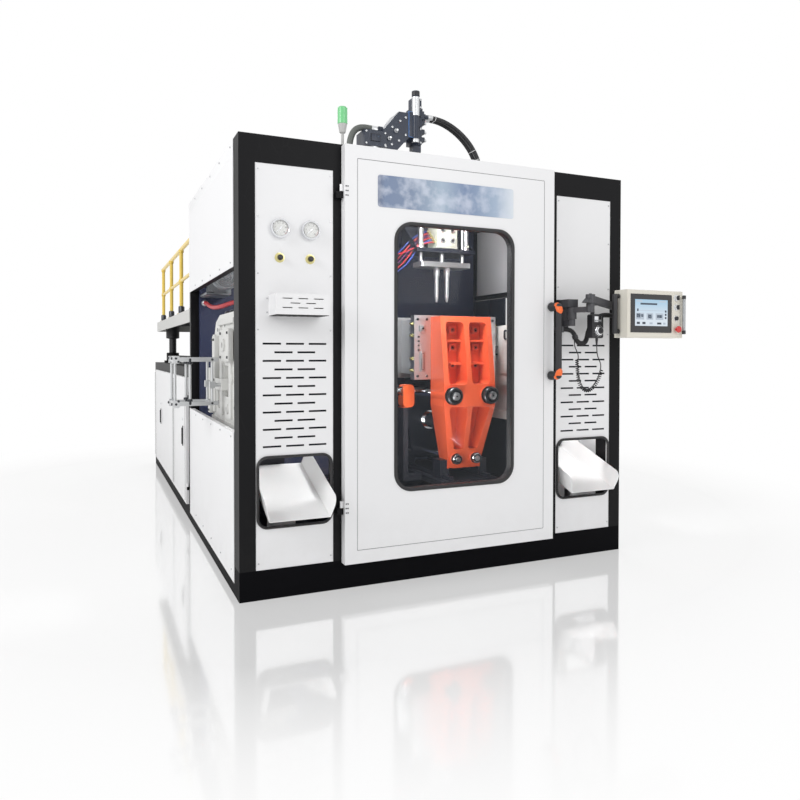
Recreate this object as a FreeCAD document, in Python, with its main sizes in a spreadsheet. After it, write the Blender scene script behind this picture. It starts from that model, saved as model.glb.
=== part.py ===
"""Extrusion blow moulding machine with one shuttling clamp.

The frame of the model: Z is up, X runs to the right along the front, Y runs from the front
to the rear, and the origin is on the floor in the middle of the footprint. Places inside the
functions are written from the left front corner of the footprint, and `corner` moves them.
"""
import FreeCAD, Part
import Sketcher
import math
import os
import re

Vector = FreeCAD.Vector

# name, value in mm (or degrees), what it is
SIZES = [
    ("width", 2460, "over the outer posts"),
    ("length", 4960, "from the front to the back of the plinth"),
    ("height", 2400, "floor to the top of the front frame"),
    ("module_depth", 1900, "depth of the enclosed front module"),
    ("base_height", 155, "height of the plinth"),
    ("base_member", 100, "flange width of the plinth's channels"),
    ("base_web", 12, "thickness of the plinth's channels"),
    ("deck", 8, "plate on top of the plinth"),
    ("base_rib", 10, "thickness of the plinth's ribs"),
    ("rib_depth", 22, "depth of the cross ribs under the deck"),
    ("rib_pitch", 450, "spacing of the cross ribs"),
    ("anchor_thick", 20, "pads round the anchor holes in the plinth's corners"),
    ("anchor_radius", 11, "anchor hole for an M20 bolt"),
    ("post_width", 85, "outer posts seen from the front"),
    ("post_depth", 130, "outer posts seen from the side"),
    ("mid_post_width", 75, "posts on both sides of the door opening"),
    ("mid_post_depth", 80, "depth of those posts"),
    ("band_height", 145, "black band over the panels and the door"),
    ("panel_width", 418, "white front panels"),
    ("tube", 60, "square tube of the rest of the frame"),
    ("sheet", 3, "thickness of the covers"),
    ("flange", 25, "folded edges of the covers"),
    ("panel_recess", 2, "front panels behind the front of the posts"),
    ("slot_width", 97, "vent slots in the front panels"),
    ("slot_height", 10, "height of a vent slot"),
    ("slot_step", 123, "spacing of the slots in a row"),
    ("slot_rise", 44.6, "spacing of the rows"),
    ("slot_first", 793, "height of the lowest row"),
    ("chute_open_width", 396, "openings for the chutes"),
    ("chute_open_bottom", 374, "lower edge of those openings"),
    ("chute_open_top", 738, "upper edge of those openings"),
    ("chute_corner", 50, "their corner radius"),
    ("chute_floor", 326, "floor of a chute"),
    ("chute_wall", 108, "height of its side walls"),
    ("chute_flare", 26, "how far a side wall leans out"),
    ("chute_sheet", 3, "sheet of the chutes"),
    ("chute_lip_out", 100, "front lip before the panels"),
    ("chute_lip_height", 422, "height of the front lip"),
    ("chute_run", 590, "length along the slope"),
    ("chute_slope", 20, "slope in degrees"),
    ("chute_nose", 48, "rounding of the walls' front corners"),
    ("hood_width", 280, "vent hood on the left panel"),
    ("hood_depth", 158, "how far it stands out"),
    ("hood_height", 106, "its height"),
    ("hood_bottom", 1473, "height of its lower edge"),
    ("low_panel_bottom", 65, "side panels: lower edge"),
    ("low_panel_top", 862, "side panels: upper edge"),
    ("cladding_bottom", 1773, "upper side covers: lower edge"),
    ("side_rail", 40, "tube under the upper side covers"),
    ("roof_open_before", 235, "roof opening, left of the die head's axis"),
    ("roof_open_after", 445, "roof opening, right of that axis"),
    ("roof_open_front", 760, "roof opening: front edge"),
    ("roof_open_rear", 1200, "roof opening: rear edge"),
    ("bulkhead_face", 1800, "front face of the wall behind the clamp"),
    ("bulkhead_sheet", 4, "its sheet"),
    ("door_lap_hinge", 29, "door over the post on its hinge side"),
    ("door_lap_lock", 12, "door over the post on its handle side"),
    ("door_bottom", 145, "lower edge of the door"),
    ("door_height", 2245, "height of the door"),
    ("door_thick", 56, "thickness of the leaf"),
    ("door_gap", 4, "gap between the leaf and the posts"),
    ("door_skin", 3, "sheet of the door"),
    ("seam_inset", 70, "seam line in from the leaf's edges"),
    ("seam", 4, "width and depth of the seam line"),
    ("window_width", 756, "glazed opening"),
    ("window_height", 1474, "its height"),
    ("window_bottom", 376, "its lower edge over the leaf's"),
    ("window_corner", 98, "its corner radius"),
    ("pane", 6, "thickness of the pane"),
    ("pane_lap", 22, "pane beyond the opening's edge"),
    ("hinge_radius", 9, "hinge knuckles"),
    ("hinge_pin", 5, "radius of the hinge pins"),
    ("hinge_length", 72, "length of a hinge"),
    ("hinge_low", 449, "height of the lower hinge"),
    ("hinge_high", 2142, "height of the upper hinge"),
    ("fit", 0.05, "running clearance on a radius"),
    ("handle_length", 452, "door pull"),
    ("handle_centre", 1352, "height of its middle"),
    ("handle_radius", 18, "grip of the pull"),
    ("handle_out", 82, "grip's axis before the leaf"),
    ("handle_inset", 23, "grip's axis from the leaf's right edge"),
    ("gauge_height", 1925, "height of the two gauges"),
    ("gauge_radius", 50, "bezel of a gauge"),
    ("needle_zero", 135, "needle at rest, degrees left of straight up"),
    ("gauge_out", 24, "bezel before the panel"),
    ("gauge_step", 164, "spacing of the gauges and regulators"),
    ("regulator_height", 1775, "height of the two regulators"),
    ("bed_front", 560, "front bed beam"),
    ("bed_rear", 1330, "rear bed beam: front edge"),
    ("bed_beam", 150, "width of a bed beam"),
    ("bed_height", 190, "height of a bed beam"),
    ("bed_before", 415, "bed beyond the die head's axis"),
    ("bed_gap", 10, "end of the bed to the right deflashing unit"),
    ("rail_width", 30, "guide rails"),
    ("rail_height", 28, "height of a guide rail"),
    ("station_inset", 792, "middle of the clamp, from the right edge"),
    ("parting_y", 990, "plane where the mould halves meet"),
    ("shuttle_stroke", 553, "from the blow pins to the die head"),
    ("open_stroke", 125, "each platen when the mould opens"),
    ("carriage_width", 440, "saddle of the clamp"),
    ("carriage_plate", 40, "its thickness"),
    ("mould_width", 500, "mould halves"),
    ("mould_thick", 160, "depth of a mould half"),
    ("mould_bottom", 1130, "lower face of the mould"),
    ("mould_top", 1520, "upper face of the mould"),
    ("backing_width", 648, "plates behind the mould halves"),
    ("backing", 60, "thickness of those plates"),
    ("backing_bottom", 1096, "their lower edge"),
    ("backing_top", 1540, "their upper edge"),
    ("platen_width", 395, "cast front platen"),
    ("platen_foot_width", 257, "its width at the bottom"),
    ("platen_bottom", 488, "its lower end"),
    ("platen_top", 1530, "its upper end"),
    ("platen_depth", 205, "depth at the tie bars"),
    ("platen_top_depth", 140, "depth at the top"),
    ("platen_foot_depth", 115, "depth at the bottom"),
    ("platen_web", 45, "wall behind the pockets"),
    ("platen_rim", 38, "width of the rims and ribs"),
    ("waist_low", 920, "lower end of the thick part"),
    ("waist_high", 1065, "upper end of the thick part"),
    ("rear_platen_depth", 130, "rear platen"),
    ("tie_height", 992, "height of the two thick tie bars"),
    ("tie_spread", 280, "spacing of the thick tie bars"),
    ("tie_radius", 30, "thick tie bars"),
    ("tie_nut", 58, "radius of their nuts"),
    ("rod_height", 556, "height of the two thin guide bars"),
    ("rod_spread", 151, "spacing of the thin guide bars"),
    ("rod_radius", 18, "thin guide bars"),
    ("rod_nut", 35, "radius of their nuts"),
    ("rod_seat", 24, "bosses under those nuts"),
    ("neck_radius", 19, "bore for a blow pin in the mould"),
    ("pin_radius", 15, "blow pins"),
    ("pin_step", 84, "spacing of the blow pins"),
    ("pin_length", 246, "blow pins under the plate"),
    ("blow_plate_bottom", 1900, "moving plate of the blow pins"),
    ("blow_plate_thick", 36, "its thickness"),
    ("blow_plate_width", 400, "its width"),
    ("blow_stroke", 170, "travel of the blow pins"),
    ("column_radius", 12.5, "guide rods of the plate"),
    ("column_step", 340, "spacing of those rods"),
    ("head_radius", 112, "body of the die head"),
    ("head_bottom", 1800, "lower face of its body"),
    ("head_body", 400, "height of its body"),
    ("head_neck", 34, "flange between the head and the barrel"),
    ("screw_height", 2000, "axis of the extruder barrel"),
    ("barrel_radius", 62, "extruder barrel"),
    ("band_radius", 84, "heater bands on the barrel"),
    ("feed_y", 2860, "feed throat, from the front"),
    ("gearbox_front", 3060, "front face of the gearbox"),
    ("cylinder_radius", 76, "parison cylinder on the die head"),
    ("cylinder_top", 2704, "its top"),
    ("cabinet_top", 1168, "top of the rear cabinet"),
    ("cabinet_wall", 6, "sheet of the rear cabinet"),
    ("cabinet_post", 40, "depth of the frame round its doors"),
    ("cabinet_frame", 78, "dark rail above the cabinet doors"),
    ("cabinet_door_bottom", 120, "cabinet doors: lower edge"),
    ("cabinet_door_split", 2800, "gap between the doors, from the front"),
    ("cabinet_door_rear", 4640, "rear edge of the rear door"),
    ("door_slit", 5, "gaps around the cabinet doors"),
    ("cabinet_door_thick", 22, "folded depth of a cabinet door"),
    ("cabinet_hinge", 8, "radius of its hinge knuckles"),
    ("cabinet_pin", 4, "radius of its hinge pins"),
    ("platform_top", 1612, "walking surface behind the front module"),
    ("platform_fascia", 100, "height of its edge"),
    ("joist_depth", 44, "depth of the joists under its deck"),
    ("platform_rear", 4690, "rear edge of the platform"),
    ("rail_post_height", 560, "handrail over the platform"),
    ("rail_mid", 290, "middle bar over the platform"),
    ("rail_tube", 17, "radius of the handrail's top bar"),
    ("rail_post", 16, "radius of its posts"),
    ("rail_bar", 14, "radius of its middle bar"),
    ("jack_radius", 38, "screws of the levelling jacks"),
    ("deflash_inner", 420, "deflashing unit: inner face from the side"),
    ("deflash_front", 420, "its front face"),
    ("deflash_rear", 1280, "its rear face"),
    ("deflash_table", 862, "height of its table"),
    ("deflash_top", 1520, "height of its casting"),
    ("takeout_y", 880, "middle of the take-out frame"),
    ("takeout_reach", 235, "how far it stands out of the left side"),
    ("takeout_low", 960, "its lower bar"),
    ("takeout_high", 1252, "its upper bar"),
    ("takeout_bar", 26, "side of its bars"),
    ("takeout_depth", 190, "spacing of its two ladders"),
    ("takeout_travel", 120, "its travel"),
    ("arm_inset", 464, "first pivot of the screen's arm, from the right edge"),
    ("arm_out", 100, "first pivot before the front"),
    ("arm_height", 1530, "height of the inner link"),
    ("elbow_side", 40, "second pivot to the right of the first"),
    ("elbow_out", 225, "second pivot before the front"),
    ("swivel_side", 434, "pivot behind the screen's box, right of the first"),
    ("swivel_out", 110, "that pivot before the front"),
    ("link_radius", 24, "ends of the arm's links"),
    ("link_height", 46, "height of the inner link"),
    ("link_wide", 40, "width of the outer link"),
    ("swivel_drop", 46, "foot of the box's pivot under the inner link"),
    ("swivel_tall", 88, "height of that pivot"),
    ("arm_pin", 9, "radius of the arm's pins"),
    ("box_pivot", 180, "left face of the operator's box to its pivot"),
    ("box_width", 440, "its width"),
    ("box_height", 290, "its height"),
    ("box_drop", 156, "its lower face under the inner link"),
    ("box_front", 300, "its front face before the machine"),
    ("box_depth", 112, "its depth"),
    ("bezel_width", 322, "screen's bezel"),
    ("bezel_height", 232, "its height"),
    ("screen_width", 258, "lit field"),
    ("screen_height", 160, "its height"),
    ("button_travel", 5, "push button and emergency stop"),
    ("pendant_side", 144, "hand pendant, right of the arm's first pivot"),
    ("pendant_out", 168, "its front before the machine"),
    ("pendant_width", 84, "its width"),
    ("pendant_depth", 48, "its depth"),
    ("pendant_height", 146, "its height"),
    ("pendant_drop", 158, "its lower end under the inner link"),
    ("conduit_radius", 15, "conduit of the operator's box, over its ribs"),
    ("wire_radius", 3, "wire of the hand pendant"),
    ("curl_radius", 12, "outer radius of the curled wire"),
    ("curl_count", 32, "curls of the wire"),
    ("pressure_hose", 15, "radius of the two black hoses"),
    ("return_hose", 22, "radius of the grey hose"),
    ("sleeve_gap", 3, "hose to sleeve in the roof"),
    ("lamp_x", 574, "signal lamp"),
    ("lamp_y", 50, "signal lamp from the front"),
    ("lamp_top", 2618, "its top"),
]

# places that follow from the sizes, from the left front corner
PLACES = {
    "door_left": "(post_width + panel_width + mid_post_width - door_lap_hinge)",
    "door_width": "(width - 2 * (post_width + panel_width + mid_post_width) + door_lap_hinge"
                  " + door_lap_lock)",
    "station_x": "(width - station_inset)",
    "head_x": "(station_x - shuttle_stroke)",
    "bed_left": "(head_x - bed_before)",
    "bed_right": "(width - deflash_inner + 60 - bed_gap)",
    "roof_open_left": "(head_x - roof_open_before)",
    "roof_open_right": "(head_x + roof_open_after)",
    "arm_x": "(width - arm_inset)",
    "elbow_x": "(arm_x + elbow_side)",
    "swivel_x": "(arm_x + swivel_side)",
    "box_left": "(swivel_x - box_pivot)",
    "box_bottom": "(arm_height - box_drop)",
    "pendant_x": "(arm_x + pendant_side)",
    "pendant_bottom": "(arm_height - pendant_drop)",
}

doc = FreeCAD.newDocument("blow_moulding_machine")
sizes = doc.addObject("Spreadsheet::Sheet", "Sizes")
for row, (alias, value, note) in enumerate(SIZES, start=1):
    sizes.set(f"A{row}", note)
    sizes.set(f"B{row}", str(value))
    sizes.setAlias(f"B{row}", alias)
doc.recompute()

ALIASES = {alias for alias, value, note in SIZES}
pieces = {}


# ---- helpers -------------------------------------------------------------------------------

def bound(text):
    """The expression with its places written out and each alias as a cell of the sheet."""
    def written(word):
        name = word.group(0)
        if name in PLACES:
            return bound(PLACES[name])
        return "Sizes." + name if name in ALIASES else name
    return re.sub(r"[A-Za-z_]\w*", written, str(text))


def num(text):
    """The value of an expression in the sheet's aliases."""
    return float(sizes.evalExpression(bound(text)))


def bind(thing, **values):
    for name, text in values.items():
        thing.setExpression(name, bound(text))
    return thing


def corner(x, y, z):
    """A place given from the left front corner, in the model's frame."""
    return f"-width / 2 + ({x})", f"-length / 2 + ({y})", str(z)


def place(thing, at, turn=None):
    """Puts a thing at a place from the left front corner; turn is an axis and an angle."""
    if turn:
        axis, angle = turn
        thing.Placement = FreeCAD.Placement(Vector(), FreeCAD.Rotation(Vector(*axis), num(angle)))
    for part, text in zip("xyz", corner(*at)):
        thing.setExpression("Placement.Base." + part, bound(text))
    return thing


def block(x, y, z, dx, dy, dz):
    """A box from its lowest corner and its three sizes."""
    box = doc.addObject("Part::Box", "block")
    bind(box, Length=dx, Width=dy, Height=dz)
    return place(box, (x, y, z))


def rod(x, y, z, radius, length, axis="z"):
    """A cylinder from the middle of its lower end, along x, y or z."""
    turns = {"z": None, "x": ((0, 1, 0), "90"), "y": ((1, 0, 0), "-90")}
    bar = doc.addObject("Part::Cylinder", "rod")
    bind(bar, Radius=radius, Height=length)
    return place(bar, (x, y, z), turns[axis])


def cone(x, y, z, low, high, length, axis="z"):
    turns = {"z": None, "x": ((0, 1, 0), "90"), "y": ((1, 0, 0), "-90"), "-y": ((1, 0, 0), "90")}
    body = doc.addObject("Part::Cone", "cone")
    bind(body, Radius1=low, Radius2=high, Height=length)
    return place(body, (x, y, z), turns[axis])


def fused(parts):
    if len(parts) == 1:
        return parts[0]
    union = doc.addObject("Part::MultiFuse", "union")
    union.Shapes = parts
    union.Refine = True
    return union


def cut(base, tools):
    difference = doc.addObject("Part::Cut", "cut")
    difference.Base = base
    difference.Tool = fused(tools)
    difference.Refine = True
    return difference


def common(first, second):
    shared = doc.addObject("Part::Common", "common")
    shared.Base = first
    shared.Tool = second
    return shared


def group(parts):
    """Several separate solids in one node."""
    compound = doc.addObject("Part::Compound", "group")
    compound.Links = parts
    return compound


def rounded(base, radius, along, inside=None):
    """Rounds the straight edges of a part that run along one axis, or only those inside a box."""
    doc.recompute()
    direction = {"x": Vector(1, 0, 0), "y": Vector(0, 1, 0), "z": Vector(0, 0, 1)}[along]
    chosen = []
    for index, edge in enumerate(base.Shape.Edges, start=1):
        if not isinstance(edge.Curve, Part.Line):
            continue
        if abs(edge.tangentAt(edge.FirstParameter).dot(direction)) < 0.999:
            continue
        if inside is None or inside(edge.CenterOfMass):
            chosen.append((index, num(radius), num(radius)))
    fillet = doc.addObject("Part::Fillet", "rounded")
    fillet.Base = base
    fillet.Edges = chosen
    return fillet


def outline(body, plane, points):
    """A closed sketch of straight lines whose corners are bound to the sheet."""
    sketch = body.newObject("Sketcher::SketchObject", "outline")
    face = next(feature for feature in body.Origin.OriginFeatures if feature.Role == plane)
    sketch.AttachmentSupport = [(face, "")]
    sketch.MapMode = "FlatFace"
    values = [Vector(num(u), num(v), 0) for u, v in points]
    for start, end in zip(values, values[1:] + values[:1]):
        sketch.addGeometry(Part.LineSegment(start, end), False)
    count = len(points)
    for line in range(count):
        sketch.addConstraint(Sketcher.Constraint("Coincident", line, 2, (line + 1) % count, 1))
    for line, (u, v) in enumerate(points):
        for kind, text in (("DistanceX", u), ("DistanceY", v)):
            index = sketch.addConstraint(Sketcher.Constraint(kind, -1, 1, line, 1, num(text)))
            sketch.setExpression(f"Constraints[{index}]", bound(text))
    return sketch


def slab(plane, points, thick, at):
    """A flat body: an outline in XY, XZ or YZ, padded towards +Z, +Y or +X."""
    body = doc.addObject("PartDesign::Body", "slab")
    sketch = outline(body, plane + "_Plane", points)
    pad = body.newObject("PartDesign::Pad", "pad")
    pad.Profile = sketch
    pad.Reversed = plane == "XZ"
    bind(pad, Length=thick)
    body.Tip = pad
    return place(body, at)


def turned(points, at, axis="z"):
    """A body turned from a half outline: radius and height of each corner."""
    turns = {"z": None, "y": ((1, 0, 0), "-90"), "-y": ((1, 0, 0), "90"), "x": ((0, 1, 0), "90")}
    body = doc.addObject("PartDesign::Body", "turned")
    sketch = outline(body, "XZ_Plane", points)
    revolution = body.newObject("PartDesign::Revolution", "revolution")
    revolution.Profile = sketch
    revolution.ReferenceAxis = (sketch, ["V_Axis"])
    revolution.Angle = 360
    body.Tip = revolution
    return place(body, at, turns[axis])


def mirrored(part):
    """The same part on the other side of the machine's middle plane."""
    mirror = doc.addObject("Part::Mirroring", "mirrored")
    mirror.Source = part
    mirror.Normal = Vector(1, 0, 0)
    return mirror


def keep(name, part):
    """Makes a part one of the nodes."""
    part.Label = name
    pieces[name] = part
    return part


PANEL_LEFT = "post_width"
PANEL_MID = "(post_width + panel_width / 2)"
PANEL_BOTTOM = "base_height"
PANEL_TOP = "(height - band_height)"
MID_POST = "(post_width + panel_width)"


# ---- plinth and frame ------------------------------------------------------------------------

def make_base_frame():
    """A welded plinth: four side members, a middle one, ribs, a deck plate and anchor holes."""
    under = "base_height - deck"
    parts = [
        block("0", "0", under, "width", "length", "deck"),
        block("width / 2 - base_rib / 2", "0", "0", "base_rib", "length", under),
    ]
    for wide, tall in (("base_member", "base_web"), ("base_web", "base_height")):
        parts += [
            block("0", "0", "0", "width", wide, tall),
            block("0", f"length - {wide}", "0", "width", wide, tall),
            block("0", "0", "0", wide, "length", tall),
            block(f"width - {wide}", "0", "0", wide, "length", tall),
        ]
    rib_count = int(num("length / rib_pitch"))
    for index in range(1, rib_count):
        y = f"length * {index} / {rib_count} - base_rib / 2"
        parts.append(block("0", y, f"{under} - rib_depth", "width", "base_rib", "rib_depth"))
    holes = []
    for x in ("base_member / 2", "width - base_member / 2"):
        for y in ("base_member / 2", "length - base_member / 2"):
            parts.append(block(f"{x} - base_member / 2", f"{y} - base_member / 2", "0",
                               "base_member", "base_member", "anchor_thick"))
            holes.append(rod(x, y, "0", "anchor_radius", "anchor_thick"))
    keep("base_frame", cut(fused(parts), holes))


def make_main_frame():
    """Posts, top band and rails of the front module, one welded frame."""
    upright = "height - base_height"
    parts = []
    for x in ("0", "width - post_width"):
        parts.append(block(x, "0", "base_height", "post_width", "post_depth", upright))
    for x in (MID_POST, f"width - {MID_POST} - mid_post_width"):
        parts.append(block(x, "0", "base_height", "mid_post_width", "mid_post_depth", upright))
    parts.append(block("0", "0", "height - band_height", "width", "mid_post_depth", "band_height"))
    for x in ("0", "width - tube"):
        parts.append(block(x, "module_depth - tube", "base_height", "tube", "tube", upright))
        parts.append(block(x, "0", "height - tube", "tube", "module_depth", "tube"))
        parts.append(block(x, "0", "cladding_bottom - side_rail", "side_rail" if x == "0" else "tube",
                           "module_depth", "side_rail"))
    parts.append(block("0", "module_depth - tube", "height - tube", "width", "tube", "tube"))
    parts.append(block("0", "parting_y + 190", "height - tube", "width", "tube", "tube"))
    keep("main_frame", fused(parts))


# ---- covers ----------------------------------------------------------------------------------

def slot_cutters(left):
    """Rows of three and two slots in turn; `left` is the panel's left edge."""
    cutters = []
    for row in range(13):
        count = 3 if row % 2 == 0 else 2
        for column in range(count):
            x = f"{left} + panel_width / 2 + slot_step * ({column} - {(count - 1) / 2}) - slot_width / 2"
            cutters.append(block(x, "-flange", f"slot_first + slot_rise * {row} - slot_height / 2",
                                 "slot_width", "flange * 3", "slot_height"))
    return cutters


def tray(left):
    """A front panel: a sheet with its four edges folded back."""
    tall = f"{PANEL_TOP} - {PANEL_BOTTOM}"
    outer = block(left, "panel_recess", PANEL_BOTTOM, "panel_width", "flange", tall)
    inner = block(f"{left} + sheet", "panel_recess + sheet", f"{PANEL_BOTTOM} + sheet",
                  "panel_width - 2 * sheet", "flange", f"{tall} - 2 * sheet")
    return cut(outer, [inner])


def chute_hole(middle):
    hole = block(f"{middle} - chute_open_width / 2", "-flange", "chute_open_bottom",
                 "chute_open_width", "flange * 3", "chute_open_top - chute_open_bottom")
    return rounded(hole, "chute_corner", "y")


def make_front_panels():
    right = "width - post_width - panel_width"
    holes = [chute_hole(PANEL_MID)] + slot_cutters(PANEL_LEFT)
    for side in ("-", "+"):
        x = f"{PANEL_MID} {side} gauge_step / 2"
        holes.append(rod(x, "-flange", "gauge_height", "gauge_radius - 6", "3 * flange", "y"))
        holes.append(rod(x, "-flange", "regulator_height", "11", "3 * flange", "y"))
    keep("front_panel_left", cut(tray(PANEL_LEFT), holes))
    keep("front_panel_right", cut(tray(right), [chute_hole(f"width - {PANEL_MID}")] + slot_cutters(right)))


def make_chute(middle):
    """A folded trough with leaning walls, on a leg that stands on the plinth."""
    half = "chute_floor / 2"
    top = f"{half} + chute_flare"
    points = [(f"-({top})", "chute_wall"), (f"-({half})", "0"), (half, "0"), (top, "chute_wall"),
              (f"{top} - chute_sheet", "chute_wall"), (f"{half} - chute_sheet", "chute_sheet"),
              (f"-({half}) + chute_sheet", "chute_sheet"), (f"-({top}) + chute_sheet", "chute_wall")]
    trough = slab("XZ", points, "chute_run", (middle, "-chute_lip_out", "chute_lip_height"))
    tilt = FreeCAD.Rotation(Vector(1, 0, 0), num("chute_slope"))
    envelope = block(f"{middle} - ({top})", "-chute_lip_out", "chute_lip_height",
                     f"2 * ({top})", "chute_run", "chute_wall")
    for piece in (trough, envelope):
        piece.Placement.Rotation = tilt
    front = num("-length / 2 - chute_lip_out - 1")
    envelope = rounded(envelope, "chute_nose", "x", lambda middle: middle.y < front)
    trough = common(trough, envelope)
    leg_y = "chute_run / 2"
    leg_top = f"chute_lip_height + (chute_lip_out + {leg_y}) * tan(chute_slope) + chute_sheet / 2"
    leg = block(f"{middle} - chute_floor / 4", leg_y, "base_height",
                "chute_floor / 2", "chute_sheet", f"{leg_top} - base_height")
    foot = block(f"{middle} - chute_floor / 4", leg_y, "base_height", "chute_floor / 2", "flange * 2",
                 "chute_sheet")
    return fused([trough, leg, foot])


def make_chutes():
    keep("chutes", group([make_chute(PANEL_MID), make_chute(f"width - {PANEL_MID}")]))


def make_vent_hood():
    """A box over the vent in the left panel, open underneath, with slots in its front."""
    left = f"{PANEL_MID} - hood_width / 2"
    outer = block(left, "panel_recess - hood_depth", "hood_bottom", "hood_width", "hood_depth",
                  "hood_height")
    inner = block(f"{left} + sheet", "panel_recess - hood_depth + sheet", "hood_bottom",
                  "hood_width - 2 * sheet", "hood_depth - 2 * sheet", "hood_height - sheet")
    tools = [inner]
    for row, count in enumerate((3, 2, 3)):
        for column in range(count):
            x = f"{PANEL_MID} + hood_width * 0.29 * ({column} - {(count - 1) / 2}) - hood_width * 0.09"
            tools.append(block(x, "-hood_depth - sheet",
                               f"hood_bottom + hood_height * (0.3 + 0.22 * {row})",
                               "hood_width * 0.18", "4 * sheet", "sheet * 1.6"))
    keep("vent_hood", cut(outer, tools))


def side_sheet(bottom, top):
    """A side cover from the front post to the rear post, its lower and upper edges folded in."""
    tall = f"{top} - {bottom}"
    return block("-sheet", "post_depth + 1", bottom, "sheet", "module_depth - post_depth - 1", tall)


def make_side_covers():
    low = side_sheet("low_panel_bottom", "low_panel_top")
    low_lip = block("0", "post_depth + 1", "low_panel_top - sheet", "flange",
                    "module_depth - post_depth - tube - 1",
                    "sheet")
    low_panel = fused([low, low_lip])
    keep("side_panels", group([low_panel, mirrored(low_panel)]))
    high = side_sheet("cladding_bottom - side_rail", "height")
    keep("side_cladding", group([high, mirrored(high)]))


SLEEVE_X = "(station_x + 294)"
SLEEVE_Y = "(parting_y - 60)"


def make_roof_panel():
    roof = block("0", "mid_post_depth", "height", "width", "module_depth - mid_post_depth", "sheet")
    hole = block("roof_open_left", "roof_open_front", "height - sheet",
                 "roof_open_right - roof_open_left", "roof_open_rear - roof_open_front", "3 * sheet")
    curb = cut(
        block("roof_open_left - sheet", "roof_open_front - sheet", "height",
              "roof_open_right - roof_open_left + 2 * sheet",
              "roof_open_rear - roof_open_front + 2 * sheet",
              "flange"),
        [block("roof_open_left", "roof_open_front", "height - sheet",
               "roof_open_right - roof_open_left", "roof_open_rear - roof_open_front",
               "flange + 3 * sheet")])
    sleeves, bores = [], []
    for side in (-1, 1):
        y = f"{SLEEVE_Y} + 27 * {side}"
        sleeves.append(rod(SLEEVE_X, y, "height - 60", "pressure_hose + sleeve_gap + sheet", "120"))
        bores.append(rod(SLEEVE_X, y, "height - 61", "pressure_hose + sleeve_gap", "122"))
    keep("roof_panel", cut(fused([cut(roof, [hole]), curb] + sleeves), bores))


def make_bulkhead():
    """The wall between the clamp and the rear of the machine, with a passage for the barrel."""
    wall = block("tube", "bulkhead_face", "base_height", "width - 2 * tube", "bulkhead_sheet",
                 "height - tube - base_height")
    stiffener_left = block("tube", "bulkhead_face", "base_height", "sheet",
                           "module_depth - bulkhead_face - tube",
                           "height - tube - base_height")
    stiffener_right = block("width - tube - sheet", "bulkhead_face", "base_height", "sheet",
                            "module_depth - bulkhead_face - tube", "height - tube - base_height")
    passage = block("head_x - 2 * band_radius", "bulkhead_face - sheet", "screw_height - 2 * band_radius",
                    "4 * band_radius", "bulkhead_sheet + 2 * sheet", "4 * band_radius")
    keep("bulkhead", cut(fused([wall, stiffener_left, stiffener_right]), [passage]))


# ---- door --------------------------------------------------------------------------------------

DOOR_FACE = "(-door_gap - door_thick)"
DOOR_MID = "(door_left + door_width / 2)"
WINDOW_BOTTOM = "(door_bottom + window_bottom)"


def window_block(grow, y, thick):
    left = f"{DOOR_MID} - window_width / 2 - ({grow})"
    hole = block(left, y, f"{WINDOW_BOTTOM} - ({grow})", f"window_width + 2 * ({grow})", thick,
                 f"window_height + 2 * ({grow})")
    return rounded(hole, f"window_corner + ({grow})", "y")


def make_door():
    """The leaf is a tray with a folded edge, a rim round the window and a seam line."""
    outer = block("door_left", DOOR_FACE, "door_bottom", "door_width", "door_thick", "door_height")
    hollow = block("door_left + 3 * door_skin", f"{DOOR_FACE} + door_skin * 2",
                   "door_bottom + 3 * door_skin",
                   "door_width - 6 * door_skin", "door_thick", "door_height - 6 * door_skin")
    rim = window_block("10 * door_skin", f"{DOOR_FACE} + door_skin", "door_thick / 2")
    seam_outer = block("door_left + seam_inset", f"{DOOR_FACE} - seam / 2", "door_bottom + seam_inset",
                       "door_width - 2 * seam_inset", "seam", "door_height - 2 * seam_inset")
    seam_inner = block("door_left + seam_inset + seam", f"{DOOR_FACE} - seam",
                       "door_bottom + seam_inset + seam",
                       "door_width - 2 * seam_inset - 2 * seam", "2 * seam",
                       "door_height - 2 * seam_inset - 2 * seam")
    leaf = fused([cut(outer, [hollow]), rim])
    tools = [window_block("0", "-2 * door_thick", "3 * door_thick"),
             window_block("pane_lap", f"{DOOR_FACE} + door_skin * 2", "pane"),
             cut(seam_outer, [seam_inner])]
    leaf = cut(leaf, tools)
    knuckles = []
    for z in ("hinge_low", "hinge_high"):
        knuckles.append(cut(
            fused([rod(HINGE_X, HINGE_Y, z, "hinge_radius", "hinge_length / 2"),
                   block(HINGE_X, f"{HINGE_Y} - hinge_radius / 3", z, "door_left - (" + HINGE_X + ")",
                         "hinge_radius / 1.5", "hinge_length / 2")]),
            [rod(HINGE_X, HINGE_Y, z, "hinge_pin + fit", "hinge_length / 2")]))
    keep("door_leaf", fused([leaf] + knuckles))
    keep("window_pane", window_block("pane_lap", f"{DOOR_FACE} + door_skin * 2", "pane"))


HINGE_X = "(door_left - hinge_radius - 1)"
HINGE_Y = "(-door_gap - door_thick / 2)"


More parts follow.
